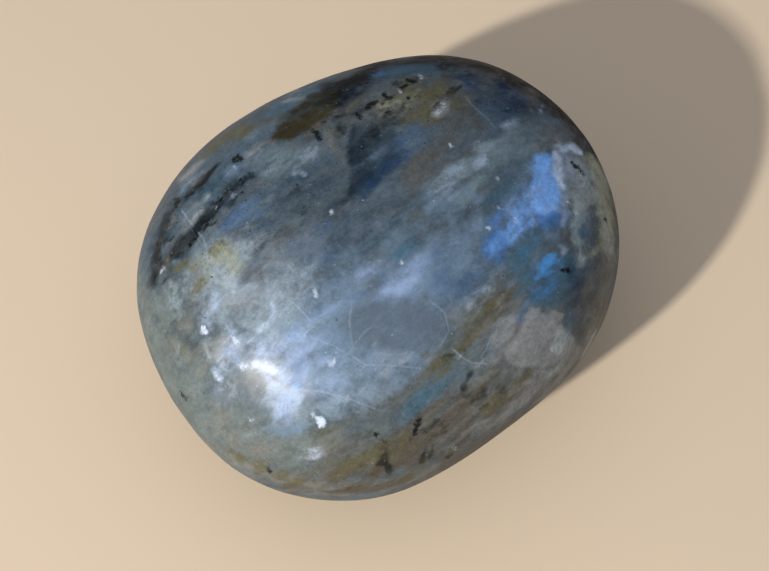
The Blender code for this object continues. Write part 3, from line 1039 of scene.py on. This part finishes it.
# A faint painted glint of the lamp, low in the flank.
stroke("painted faint glint low in the flank", "milk", 0.3, (296, 448, 4), (306, 453, 5), (318, 456, 4))
stroke("painted faint glint, upper", "gleam", 0.4, (292, 444, 2.6), (302, 448, 2.6), (312, 450, 2.6))
stroke("painted faint glint, lower", "gleam", 0.5, (298, 458, 2.6), (308, 458, 2.6), (318, 455, 2.6))
scatter("mottles in the flank", "stone", 0.5, 30, 16, 5, (150, 300), (190, 300), (206, 350), (232, 400),
        (280, 440), (240, 450), (170, 390))
scatter("pale mottles in the flank", "chalk", 0.45, 22, 16, 4.4, (160, 296), (196, 300), (214, 360),
        (240, 400), (290, 440), (230, 440), (180, 400))
scatter("dark mottles in the flank", "slate", 0.42, 24, 14, 4, (150, 300), (190, 300), (206, 350),
        (232, 400), (280, 440), (240, 450), (170, 390))
count_marks()

# %% [markdown]
# The flash is the stone's own light. Its deep foot and heel frame a bright middle, a milky rim and a clear
# window close its right side, and azure grains shine in the teal field below it. The brightest line of the
# rim and the ring of white in the window are painted glints of the lamp on the shallow dish there.

# %% The blue flash
patch("flash", "flash", 1.0, 5, (536, 157), (545, 154), (555, 156), (560, 175), (562, 196), (559, 211),
      (546, 215), (534, 215), (528, 206), (530, 190), (532, 174))
patch("flash, its hazy left", "flash", 0.62, 9, (498, 242), (504, 224), (514, 204), (524, 186),
      (532, 168), (538, 196), (538, 216), (526, 232), (512, 244))
patch("flash, deep foot", "deep_blue", 0.9, 6, (481, 250), (484, 238), (493, 230), (504, 230), (511, 240),
      (507, 252), (500, 263), (488, 263))
patch("flash, deep heel", "deep_blue", 0.9, 6, (538, 214), (550, 209), (562, 210), (564, 222), (555, 228),
      (542, 227))
stroke("deep blue in the flash", "deep_blue", 0.6, (504, 236, 4), (516, 222, 4), (527, 208, 4))
stroke("lower flash", "flash", 0.62, (510, 242, 5), (518, 234, 6), (527, 227, 6), (538, 219, 5))
stroke("flash by the lower edge", "flash", 0.85, (514, 237, 4), (523, 229, 5), (533, 221, 4))
stroke("foot's lit middle", "flash", 0.36, (494, 252, 5), (503, 245, 6))
stroke("flash's far shoulder", "haze", 0.8, (494, 226, 5), (500, 215, 6), (507, 206, 6), (514, 196, 5))
stroke("haze along the flash", "haze", 0.7, (509, 196, 5), (517, 186, 5), (525, 176, 4))
stroke("deep blue by the shoulder", "deep_blue", 0.5, (490, 228, 4), (497, 220, 5), (504, 210, 4))
stroke("teal before the flash", "teal", 0.6, (524, 250, 7), (536, 240, 7), (548, 234, 5))
stroke("haze under the heel", "haze", 0.6, (545, 232, 5), (554, 238, 5), (560, 246, 5))
patch("teal by the heel", "teal", 0.5, 7, (566, 230), (578, 226), (590, 232), (590, 244), (578, 250),
      (568, 244))
stroke("pale grain by the heel", "milk", 0.75, (560, 246, 2.6), (565, 250, 2.8), (562, 254, 2))
stroke("brownish spot by the heel", "brown", 0.5, (568, 233, 4), (572, 240, 4), (574, 247, 4))
count_marks()

# %% The azure grains and the teal field
patch("teal field", "teal", 0.7, 9, (504, 262), (520, 240), (540, 236), (546, 250), (534, 266),
      (536, 290), (520, 286), (506, 280))
patch("azure grains", "azure", 0.8, 5, (540, 252), (549, 249), (557, 254), (556, 264), (550, 269),
      (545, 278), (538, 277), (538, 268))
patch("teal below the grains", "teal", 0.95, 7, (540, 272), (552, 258), (566, 250), (578, 256),
      (576, 276), (566, 292), (552, 304), (536, 306), (528, 298), (536, 286))
patch("navy beside the grains", "navy", 0.5, 6, (564, 262), (576, 254), (586, 262), (584, 284),
      (572, 298), (562, 296), (564, 276))
stroke("deep blue over the grains", "deep_blue", 0.5, (536, 294, 6), (546, 284, 8), (554, 272, 8),
       (552, 262, 7))
stroke("azure over the grains", "azure", 0.7, (552, 256, 3), (559, 262, 3.6), (562, 269, 3))
stroke("azure veil", "azure", 0.42, (536, 258, 6), (547, 251, 7), (556, 251, 5))
stroke("azure drop", "azure", 0.45, (543, 290, 2.2), (547, 286, 2.2))
stroke("glass right of the azure", "glass", 0.62, (582, 260, 5), (587, 254, 6), (594, 252, 5))
stroke("black spot in the blue", "fleck", 1.0, (567, 271, 3), (568, 271, 3))
stroke("black spot beside it", "fleck", 0.9, (562, 270, 1.8), (563, 270, 1.8))
scatter("azure bits", "azure", 0.62, 12, 6, 2.4, (538, 284), (536, 262), (548, 248), (562, 256),
        (560, 276), (548, 284))
count_marks()

# %% The clear window
patch("clear window", "glass", 0.9, 7, (566, 158), (574, 156), (584, 160), (592, 170), (597, 186),
      (596, 202), (588, 212), (576, 212), (568, 202), (564, 184))
patch("milky rim of the flash", "milk", 0.9, 5, (550, 158), (554, 148), (562, 144), (570, 150),
      (574, 166), (572, 188), (568, 206), (564, 214), (559, 206), (561, 190), (558, 176), (553, 166))
# Painted glint of the lamp on the lip of the shallow dish.
stroke("painted glint on the dish's lip", "gleam", 1.0, (555, 153, 3.4), (558, 163, 4.4), (560, 175, 3.6),
       (563, 187, 2.6))
stroke("ring over the rim", "gleam", 0.5, (556, 149, 2.6), (561, 145, 2.6), (567, 144, 2.4))
stroke("bright crescent", "gleam", 1.0, (563, 150, 2.8), (571, 147, 3.8), (579, 152, 3))
stroke("pits in the window", "fleck", 0.95, (572, 163, 2), (575, 166, 2.4), (578, 168, 2))
# Painted glints of the lamp inside the dish.
stroke("painted glints in the window", "spark", 0.62, (581, 176, 1.8), (584, 180, 1.8), (582, 186, 1.8))
stroke("pits beside the ring", "fleck", 0.8, (581, 171, 1.8), (583, 174, 1.9))
stroke("glow under the window", "glow", 0.75, (562, 202, 4), (565, 214, 4), (564, 224, 4))
patch("glaze over the window", "haze", 0.6, 6, (568, 216), (582, 206), (596, 212), (594, 234), (580, 242),
      (570, 232))
count_marks()

# %% The right rim and the slope
stroke("straw rim", "straw", 1.0, (590, 160, 6), (598, 176, 8), (603, 196, 10), (607, 218, 11),
       (606, 236, 9))
stroke("olive in the rim", "olive", 0.6, (600, 176, 5), (607, 200, 6), (610, 230, 6))
stroke("straw by the rim", "straw", 1.0, (588, 256, 4), (598, 247, 4), (604, 241, 4))
stroke("frost on the straw", "frost", 0.6, (593, 257, 2), (599, 249, 2.4), (605, 243, 2))
stroke("stone rim", "stone", 0.95, (609, 254, 10), (603, 285, 12), (597, 312, 11), (588, 340, 9))
stroke("brown in the right rim", "brown", 0.3, (606, 262, 6), (604, 285, 7), (598, 310, 7), (588, 336, 6))
patch("glass on the right rim", "glass", 0.34, 8, (592, 176), (606, 180), (616, 220), (614, 256),
      (600, 250), (598, 214))
stroke("glass before the rim", "glass", 0.5, (578, 238, 4), (586, 244, 5), (594, 250, 4))
stroke("glass behind the heel", "glass", 0.6, (576, 226, 5), (584, 216, 7), (596, 214, 6))
stroke("dark spot in the rim", "fleck", 0.85, (605, 219, 2), (606, 222, 2))
patch("umber slope", "umber", 0.7, 6, (572, 300), (582, 280), (590, 268), (592, 290), (586, 322),
      (582, 340), (577, 338), (570, 318))
patch("navy slope", "navy", 0.42, 6, (564, 298), (576, 290), (582, 300), (581, 322), (578, 338),
      (570, 334), (564, 320))
count_marks()

# %% Wisps by the flash
scatter("wisps over the flash", "glow", 0.5, 7, 34, 3, (516, 236), (528, 200), (540, 162), (556, 162),
        (558, 206))
scatter("blue wisps left of the flash", "flash", 0.42, 8, 24, 3.4, (488, 248), (500, 222), (520, 190),
        (526, 196), (508, 238))
scatter("teal streaks", "teal", 0.7, 16, 30, 3, (504, 300), (514, 256), (540, 240), (556, 236),
        (540, 290))
scatter("pale streaks in the teal", "haze", 0.55, 10, 24, 2.6, (504, 300), (514, 250), (540, 240),
        (556, 250), (540, 280))
count_marks()

# %% [markdown]
# The lower right turns from olive and turquoise to brown. A pale grey plate with a forked line lies above,
# and short black bars mark the brown side down to the bottom rim.

# %% The olive and turquoise bands
patch("olive band, upper", "olive", 0.62, 6, (516, 276), (522, 284), (508, 300), (494, 316), (482, 336),
      (466, 352), (446, 364), (436, 360), (448, 346), (460, 332), (472, 316), (486, 300), (502, 284))
patch("olive band, lower", "olive", 0.85, 6, (438, 354), (456, 350), (446, 366), (426, 381), (400, 398),
      (370, 421), (340, 433), (318, 434), (346, 424), (376, 406), (402, 389), (424, 372))
stroke("brown in the band", "brown", 0.85, (462, 350, 5), (476, 330, 6), (490, 312, 6), (504, 294, 6))
stroke("dark seam in the band", "soot", 0.45, (442, 362, 3), (456, 350, 3), (470, 332, 4), (480, 318, 3))
stroke("frost over the olive band", "frost", 0.66, (478, 308, 4), (486, 300, 5), (494, 290, 4))
patch("turquoise band", "teal", 0.68, 6, (397, 419), (404, 402), (420, 388), (443, 375), (456, 372),
      (458, 380), (446, 392), (430, 404), (414, 418), (402, 424))
stroke("azure grain in the turquoise", "azure", 0.4, (446, 388, 2), (449, 385, 2))
count_marks()

# %% The grey plate and the forked line
patch("grey plate", "frost", 0.95, 2.4, (526, 316), (531, 308), (538, 308), (544, 314), (548, 319),
      (552, 311), (558, 313), (563, 315), (562, 322), (566, 332), (574, 337), (576, 344), (581, 349),
      (574, 360), (552, 366), (526, 368), (508, 364), (504, 354), (514, 340), (522, 328))
stroke("pale heart of the plate", "frost", 0.9, (552, 322, 5), (560, 334, 8), (558, 348, 8))
stroke("light on the plate", "glass", 0.7, (558, 330, 4), (563, 340, 6), (560, 350, 4))
stroke("light in the plate's foot", "glass", 0.6, (546, 374, 4), (556, 369, 5))
patch("pale strip", "frost", 0.8, 4, (484, 362), (486, 344), (492, 330), (500, 318), (512, 311),
      (516, 320), (506, 340), (498, 362))
stroke("haze between the strips", "haze", 0.3, (500, 350, 5), (508, 334, 5), (514, 320, 4))
stroke("blue beside the strip", "deep_blue", 0.3, (530, 298, 3), (525, 308, 3.4), (520, 318, 3))
stroke("frost by the strip's head", "frost", 0.6, (498, 300, 5), (506, 292, 6))
stroke("frost under the plate", "frost", 0.5, (508, 372, 5), (524, 376, 5), (544, 366, 5))
patch("stone below the fork", "stone", 0.8, 7, (452, 364), (462, 348), (482, 344), (496, 356), (486, 374),
      (466, 374))
stroke("frost right of the fork", "frost", 0.4, (470, 366, 5), (484, 360, 6))
vein("fork, left", 0.9, (453, 350), (463, 358), (472, 363), (486, 364))
vein("fork, right", 0.7, (482, 356), (487, 348), (491, 336))
stroke("fork's halo", "milk", 0.4, (458, 354, 3), (472, 362, 4), (484, 360, 4))
vein("line by the near rim", 0.6, (536, 371), (545, 373), (552, 376))
patch("frost on the near rim", "frost", 0.8, 6, (528, 388), (540, 374), (556, 364), (578, 358),
      (560, 386), (526, 408), (506, 412), (512, 400))
stroke("lit rim of the slope", "glass", 0.8, (584, 352, 6), (592, 338, 6))
count_marks()

# %% The brown lower side
patch("lower right, all", "stone", 0.62, 18, (452, 352), (480, 318), (506, 298), (540, 300), (584, 340),
      (588, 360), (520, 412), (450, 452), (404, 446), (420, 400))
patch("brown field", "brown", 0.85, 9, (396, 444), (412, 424), (436, 402), (462, 384), (486, 380),
      (500, 384), (490, 394), (474, 412), (452, 434), (430, 452), (408, 464), (384, 468), (378, 456))
stroke("gold-olive line", "olive", 0.8, (532, 373, 4), (514, 387, 5), (500, 400, 5), (486, 410, 4))
stroke("frost over the olive line", "frost", 0.7, (506, 394, 4), (521, 384, 6), (536, 376, 5))
stroke("olive brown by the blot", "olive", 0.62, (392, 476, 5), (406, 470, 6), (424, 461, 5))
patch("brown by the double streak", "brown", 0.9, 5, (438, 458), (450, 444), (466, 434), (474, 436),
      (462, 450), (446, 464))
patch("frost under the double streak", "frost", 0.4, 6, (466, 436), (484, 420), (506, 404), (528, 398),
      (506, 416), (478, 436))
patch("lower-right rim", "umber", 0.95, 6, (446, 456), (478, 440), (520, 416), (560, 390), (584, 364),
      (576, 392), (524, 432), (474, 462), (440, 474), (430, 466))
stroke("soot by the rim", "soot", 0.4, (440, 456, 5), (454, 448, 6), (468, 438, 5))
stroke("dark slot", "soot", 0.95, (471, 374, 2.6), (466, 381, 3), (463, 387, 2.6))
stroke("black bar", "fleck", 0.95, (420, 419, 2.6), (417, 425, 2.6), (415, 433, 2.2))
stroke("double streak, left", "soot", 0.8, (422, 461, 2), (425, 450, 2), (428, 441, 1.8))
stroke("double streak, right", "soot", 0.8, (430, 457, 2), (432, 450, 2), (433, 444, 1.8))
patch("brown-black blot", "soot", 0.95, 2.4, (376, 466), (382, 456), (386, 448), (390, 450), (388, 460),
      (393, 470), (388, 475), (384, 466))
stroke("small spots", "fleck", 0.85, (375, 434, 2.2), (377, 435, 2.2))
stroke("small spot, lower", "fleck", 0.75, (382, 440, 2), (385, 442, 2))
stroke("pits along the rim", "fleck", 0.8, (446, 458, 2), (450, 456, 2.2))
count_marks()

# %% The bottom
patch("bottom skirt", "stone", 0.7, 7, (182, 424), (226, 448), (262, 466), (300, 478), (350, 482),
      (400, 474), (436, 460), (440, 470), (400, 492), (340, 500), (280, 490), (226, 466), (184, 436))
stroke("bottom olive, left", "olive", 0.6, (230, 450, 5), (244, 459, 6), (262, 468, 6), (290, 479, 6),
       (320, 484, 5))
stroke("bottom olive, right", "olive", 0.64, (300, 474, 6), (330, 472, 7), (358, 464, 7), (384, 452, 6),
       (404, 440, 5))
patch("bottom brown", "brown", 0.85, 9, (352, 482), (372, 462), (386, 446), (404, 440), (430, 444),
      (424, 462), (396, 478), (370, 486))
stroke("brown in the bottom rim", "brown", 0.9, (290, 486, 5), (330, 492, 6), (380, 488, 6),
       (410, 478, 6))
stroke("brown low down", "brown", 0.85, (330, 480, 7), (352, 474, 9), (376, 470, 7))
patch("umber at the bottom", "umber", 0.85, 10, (322, 450), (346, 438), (380, 430), (404, 420),
      (390, 446), (372, 466), (340, 480), (306, 476))
patch("shadow low down", "ink", 0.3, 12, (344, 456), (356, 444), (374, 438), (384, 448), (370, 474),
      (350, 478))
stroke("stone on the skirt", "stone", 0.5, (290, 494, 3), (330, 499, 3), (380, 494, 3), (420, 480, 3),
       (438, 471, 3))
stroke("bottom spot", "fleck", 0.8, (268, 469, 2.4), (270, 472, 2.4))
count_marks()

# %% Streaks in the lower side
scatter("umber streaks below", "umber", 0.7, 18, 40, 3.4, (404, 440), (440, 402), (500, 366), (540, 370),
        (500, 404), (440, 440))
scatter("olive streaks in the band", "olive", 0.8, 18, 40, 3, (350, 430), (400, 396), (450, 350),
        (500, 290), (524, 280), (500, 320), (450, 368), (380, 420))
scatter("turquoise bits in the band", "teal", 0.7, 10, 16, 2.6, (398, 420), (420, 388), (456, 372),
        (456, 384), (420, 414))
scatter("faint soot below", "soot", 0.36, 8, 40, 3.0, (404, 440), (440, 402), (460, 392), (470, 400),
        (448, 430), (416, 450))
scatter("brown streaks below", "brown", 0.7, 26, 44, 3.4, (400, 446), (440, 404), (500, 368), (560, 366),
        (520, 400), (440, 452), (400, 464))
scatter("sooty streaks below", "soot", 0.55, 12, 26, 2.6, (400, 450), (446, 404), (490, 380), (520, 384),
        (450, 448))
scatter("pale streaks below", "pale", 0.4, 10, 34, 3, (470, 430), (490, 400), (530, 380), (568, 368),
        (510, 414))
scatter("umber streaks in the plate", "umber", 0.5, 12, 26, 2.4, (500, 360), (520, 312), (560, 316),
        (572, 346), (556, 364))
scatter("pale streaks in the plate", "chalk", 0.5, 10, 22, 2.2, (490, 356), (520, 316), (560, 320),
        (568, 350))
count_marks()

# %% Loose white grains
LOOSE_GRAINS = (
    (399, 91), (331, 212), (450, 145), (496, 177), (498, 207), (515, 220), (488, 228),
    (540, 110), (401, 262), (552, 349), (455, 448), (420, 76), (568, 202), (576, 214),
)
for number, (x, y) in enumerate(LOOSE_GRAINS):
    stroke(f"white grain {number}", "spark", 0.66, (x, y, 1.9), (x + 1, y + 1, 1.8))
print(len(LOOSE_GRAINS), "loose grains, and", len(mark_names), "marks in all")

# %% [markdown]
# The far side and the underside could be laid by hand as well, but nobody knows their marks. So a loop
# strews them: strokes of the same finishes, along the same leaves of the crystal, only where the surface
# turns away from the camera. The seed is fixed, so they fall the same way each time.

# %% The far side and the underside
FAR_MARKS = (
    # finish, how many, shortest and longest in millimetres, narrowest and widest half width in pixels
    ("sage", 5, 6, 14, 24, 46),
    ("pale", 7, 8, 16, 8, 20),
    ("slate", 8, 8, 18, 9, 22),
    ("umber", 8, 8, 18, 8, 20),
    ("haze", 5, 6, 14, 12, 30),
    ("brown", 6, 6, 14, 6, 12),
    ("olive", 7, 6, 14, 5, 12),
    ("teal", 5, 5, 12, 5, 10),
    ("navy", 4, 5, 12, 5, 12),
    ("deep_blue", 2, 5, 9, 6, 10),
    ("flash", 1, 6, 8, 8, 12),
    ("milk", 10, 1, 4, 3, 6),
    ("fleck", 26, 1, 6, 2.2, 4),
    ("spark", 40, 0.1, 0.4, 1.8, 2.6),
)
HIDDEN_BELOW = -0.12  # a vertex that faces the camera by less than this is well past the rim
FAR_STRAY = 0.12  # how far each part of a stroke's heading strays from the leaves
hidden = np.flatnonzero(facing_camera < HIDDEN_BELOW)
own_places = skin_places / pixel
leaf_along = np.array(LEAF_ALONG)


def far_line(length, half_width):
    """A stroke of three points that follows the leaves over the far side."""
    first = chance.choice(hidden)
    level = stone_normals[first] * (leaf_along @ stone_normals[first])
    heading = leaf_along - level + chance.normal(0, FAR_STRAY, 3)
    points = []
    for share in (0.0, 0.5, 1.0):
        wanted = own_places[first] + heading * share * length / (pixel / MM)
        nearest = ((own_places - wanted) ** 2).sum(axis=1).argmin()
        points.append(np.append(own_places[nearest], half_width * chance.uniform(0.6, 1.0)))
    return points


for finish, count, shortest, longest, narrowest, widest in FAR_MARKS:
    for _ in range(count):
        line = far_line(chance.uniform(shortest, longest), chance.uniform(narrowest, widest))
        lay_line(finish, chance.uniform(0.7, 1.0), own_places, line)
print(sum(row[1] for row in FAR_MARKS), "strokes on the far side")

# %% Store the marks on the mesh
def store(name, numbers):
    """Keeps one number for each vertex, for the material to read."""
    stone.data.attributes.new(name, "FLOAT", "POINT").data.foreach_set("value", numbers.astype(np.float32))


for finish, field in mark_fields.items():
    store(finish, np.maximum(field, NO_MARK))
store("vein_side", vein_side)
store("vein_strength", vein_strength)
print(len(stone.data.attributes), "attributes on the skin")

# %% [markdown]
# The material reads those numbers. Noise frays the edges of the marks: streaks and wisps lie along the
# crystal's leaves, clouds are soft, grit and specks are fine, and gauze lets the deeper finishes show
# through. The marks are then mixed one over the other, from the deepest to the topmost. The polish is a
# clear coat, because light enters this stone before it scatters.

# %% Noise that follows the leaves
polish.use_nodes = True
look = Tree(polish.node_tree)
surface = polish.node_tree.nodes["Principled BSDF"]
place = look.add("ShaderNodeTexCoord")["Object"]
leaf_depth = LEAF_ALONG.cross(LEAF_ACROSS)


def along_leaves(length):
    """The place, squeezed along the leaves so that a pattern comes out this many times as long."""
    return look.join(
        look.dot(place, LEAF_ALONG) / length,
        look.dot(place, LEAF_ACROSS),
        look.dot(place, leaf_depth) * 0.6,
    )


def noise(where, lump, detail, seed, roughness=0.6):
    """Soft random numbers, whose largest lumps measure this many millimetres."""
    settings = {"noise_dimensions": "4D"}
    values = {"Vector": where, "W": seed, "Scale": 1 / (lump * MM), "Detail": detail, "Roughness": roughness}
    return look.add("ShaderNodeTexNoise", settings, values)[0]


long_leaves = along_leaves(6.0)
short_leaves = along_leaves(2.5)
grains = {
    "streaks": look.ease(noise(long_leaves, 1.6, 6.0, 1.0), 0.3, 0.7),
    "wisps": look.ease(noise(short_leaves, 2.2, 7.0, 7.0, 0.68), 0.3, 0.7),
    "clouds": look.ease(noise(place, 2.6, 6.0, 2.0, 0.65), 0.3, 0.7),
    "grit": look.ease(noise(place, 0.4, 3.0, 3.0), 0.3, 0.7),
    "specks": look.ease(noise(place, 0.3, 1.0, 14.0), 0.6, 0.8),
    "gauze": look.ease(noise(short_leaves, 1.3, 6.0, 15.0, 0.7), 0.35, 0.7),
}
print(len(grains), "grains")

# %% Colours and masks
def screen_colour(red, green, blue):
    """A colour as a screen shows it, from 0 to 255, in the linear light that shaders use."""
    return (*(((part / 255 + 0.055) / 1.055) ** 2.4 for part in (red, green, blue)), 1.0)


def mixed(factor, under, over):
    """One colour laid over another."""
    settings = {"data_type": "RGBA", "clamp_factor": True}
    return look.add("ShaderNodeMix", settings, {0: factor, 6: under, 7: over})[2]


def attribute(name):
    """A number that the marks left on the skin."""
    return look.add("ShaderNodeAttribute", {"attribute_name": name})["Fac"]


def cover(finish):
    """How much of a finish shows, from 0 to 1."""
    style = FINISHES[finish]
    frayed = attribute(finish) + (grains[style.grain] - 0.5) * style.ragged
    edge = look.ease(frayed, 0.5 - style.fade / 2, 0.5 + style.fade / 2)
    return edge * (1 - style.thin * grains["gauze"])


# %% [markdown]
# The body under the marks is two greys in bands along the leaves, darker where the streaks run. The veins
# come under the black finishes and the white grains, which lie nearer to the skin than the cracks do.

# %% The body and the marks
SMOKE = screen_colour(74, 92, 105)
EARTH = screen_colour(78, 86, 90)
INK = screen_colour(56, 67, 80)
VEIN = screen_colour(136, 153, 172)
VEIN_WOBBLE = 2.2  # how far, in pixels, a vein wanders from its line
VEIN_CORE, VEIN_EDGE = 0.2, 1.7  # where, in pixels from its middle, it starts and ends to fade

bands = noise(long_leaves, 3.5, 4.0, 5.0)
colour = mixed(look.ease(bands, 0.4, 0.6), SMOKE, EARTH)
colour = mixed(grains["streaks"] * 0.5, colour, INK)
covers = {finish: cover(finish) for finish in FINISHES}
for finish, style in FINISHES.items():
    if finish == "soot":
        wobble = (grains["clouds"] - 0.5) * VEIN_WOBBLE
        line = 1 - look.ease(abs(attribute("vein_side") + wobble), VEIN_CORE, VEIN_EDGE)
        broken = 0.25 + grains["wisps"] * 0.6
        colour = mixed(line * attribute("vein_strength") * broken, colour, VEIN)
    colour = mixed(covers[finish], colour, screen_colour(*style.colour))
print(len(covers), "finishes over the body")

# %% [markdown]
# Close up, the crystal is never one flat colour. A mottle along the leaves, grit and speckle lighten and
# darken every finish, a web of faint ridges crosses it, and tiny dark pits and pale dots are strewn over
# all. The same mottle is the relief under the coat. The base has no shine of its own: the coat has it all.

# %% Fine texture over everything
PIT = screen_colour(24, 30, 34)
DOT = screen_colour(170, 182, 196)
MOTTLED, GRITTY, SPECKLED = 1.5, 0.2, 0.5  # how far each texture lightens and darkens
WEBBED = 0.14  # how far the ridges lighten
HAZE_CALM = 0.6  # how much of the texture the haze hides


def ridge(value, width):
    """A thin line wherever soft noise passes its middle."""
    return 1 - look.ease(abs(value - 0.5), 0.0, width)


mottle = noise(along_leaves(1.5), 0.9, 7.0, 6.0, 0.72)
speckle = noise(place, 0.22, 2.0, 8.0)
web = ridge(noise(place, 4.0, 3.0, 9.0), 0.012) * look.ease(noise(place, 5.0, 2.0, 10.0), 0.45, 0.6)
texture = (mottle - 0.5) * MOTTLED + (grains["grit"] - 0.5) * GRITTY + (speckle - 0.5) * SPECKLED
tone = 1 + texture * (1 - covers["haze"] * HAZE_CALM) + web * WEBBED
toned = look.scale(colour, tone)
dots = look.ease(noise(place, 0.35, 1.0, 12.0), 0.72, 0.78)
pits = look.ease(noise(place, 0.4, 1.0, 13.0), 0.73, 0.8)
dotted = mixed(dots * 0.3, mixed(pits * 0.7, toned, PIT), DOT)
print("the polish has", len(look.nodes.nodes), "nodes so far")

# %% The polish
COAT_ROUGHNESS = 0.34
RELIEF_DEPTH = 0.02 * MM


def feed(name, value):
    """Links a value to one of the surface's own sockets."""
    look.nodes.links.new(value.socket, surface.inputs[name])


relief = {"Strength": 0.6, "Distance": RELIEF_DEPTH, "Height": mottle + grains["wisps"] * 0.5}
feed("Base Color", dotted)
feed("Roughness", 0.3 + (grains["clouds"] - 0.5) * 0.12)
feed("Coat Weight", 0.38 - covers["ink"] * 0.2 - covers["navy"] * 0.1)
feed("Normal", look.add("ShaderNodeBump", None, relief)["Normal"])
surface.inputs["Specular IOR Level"].default_value = 0.0
surface.inputs["Coat Roughness"].default_value = COAT_ROUGHNESS
print("the polish has", len(look.nodes.nodes), "nodes")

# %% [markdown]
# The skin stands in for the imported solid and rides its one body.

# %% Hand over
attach(stone, "root")
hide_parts("labradorite_stone")
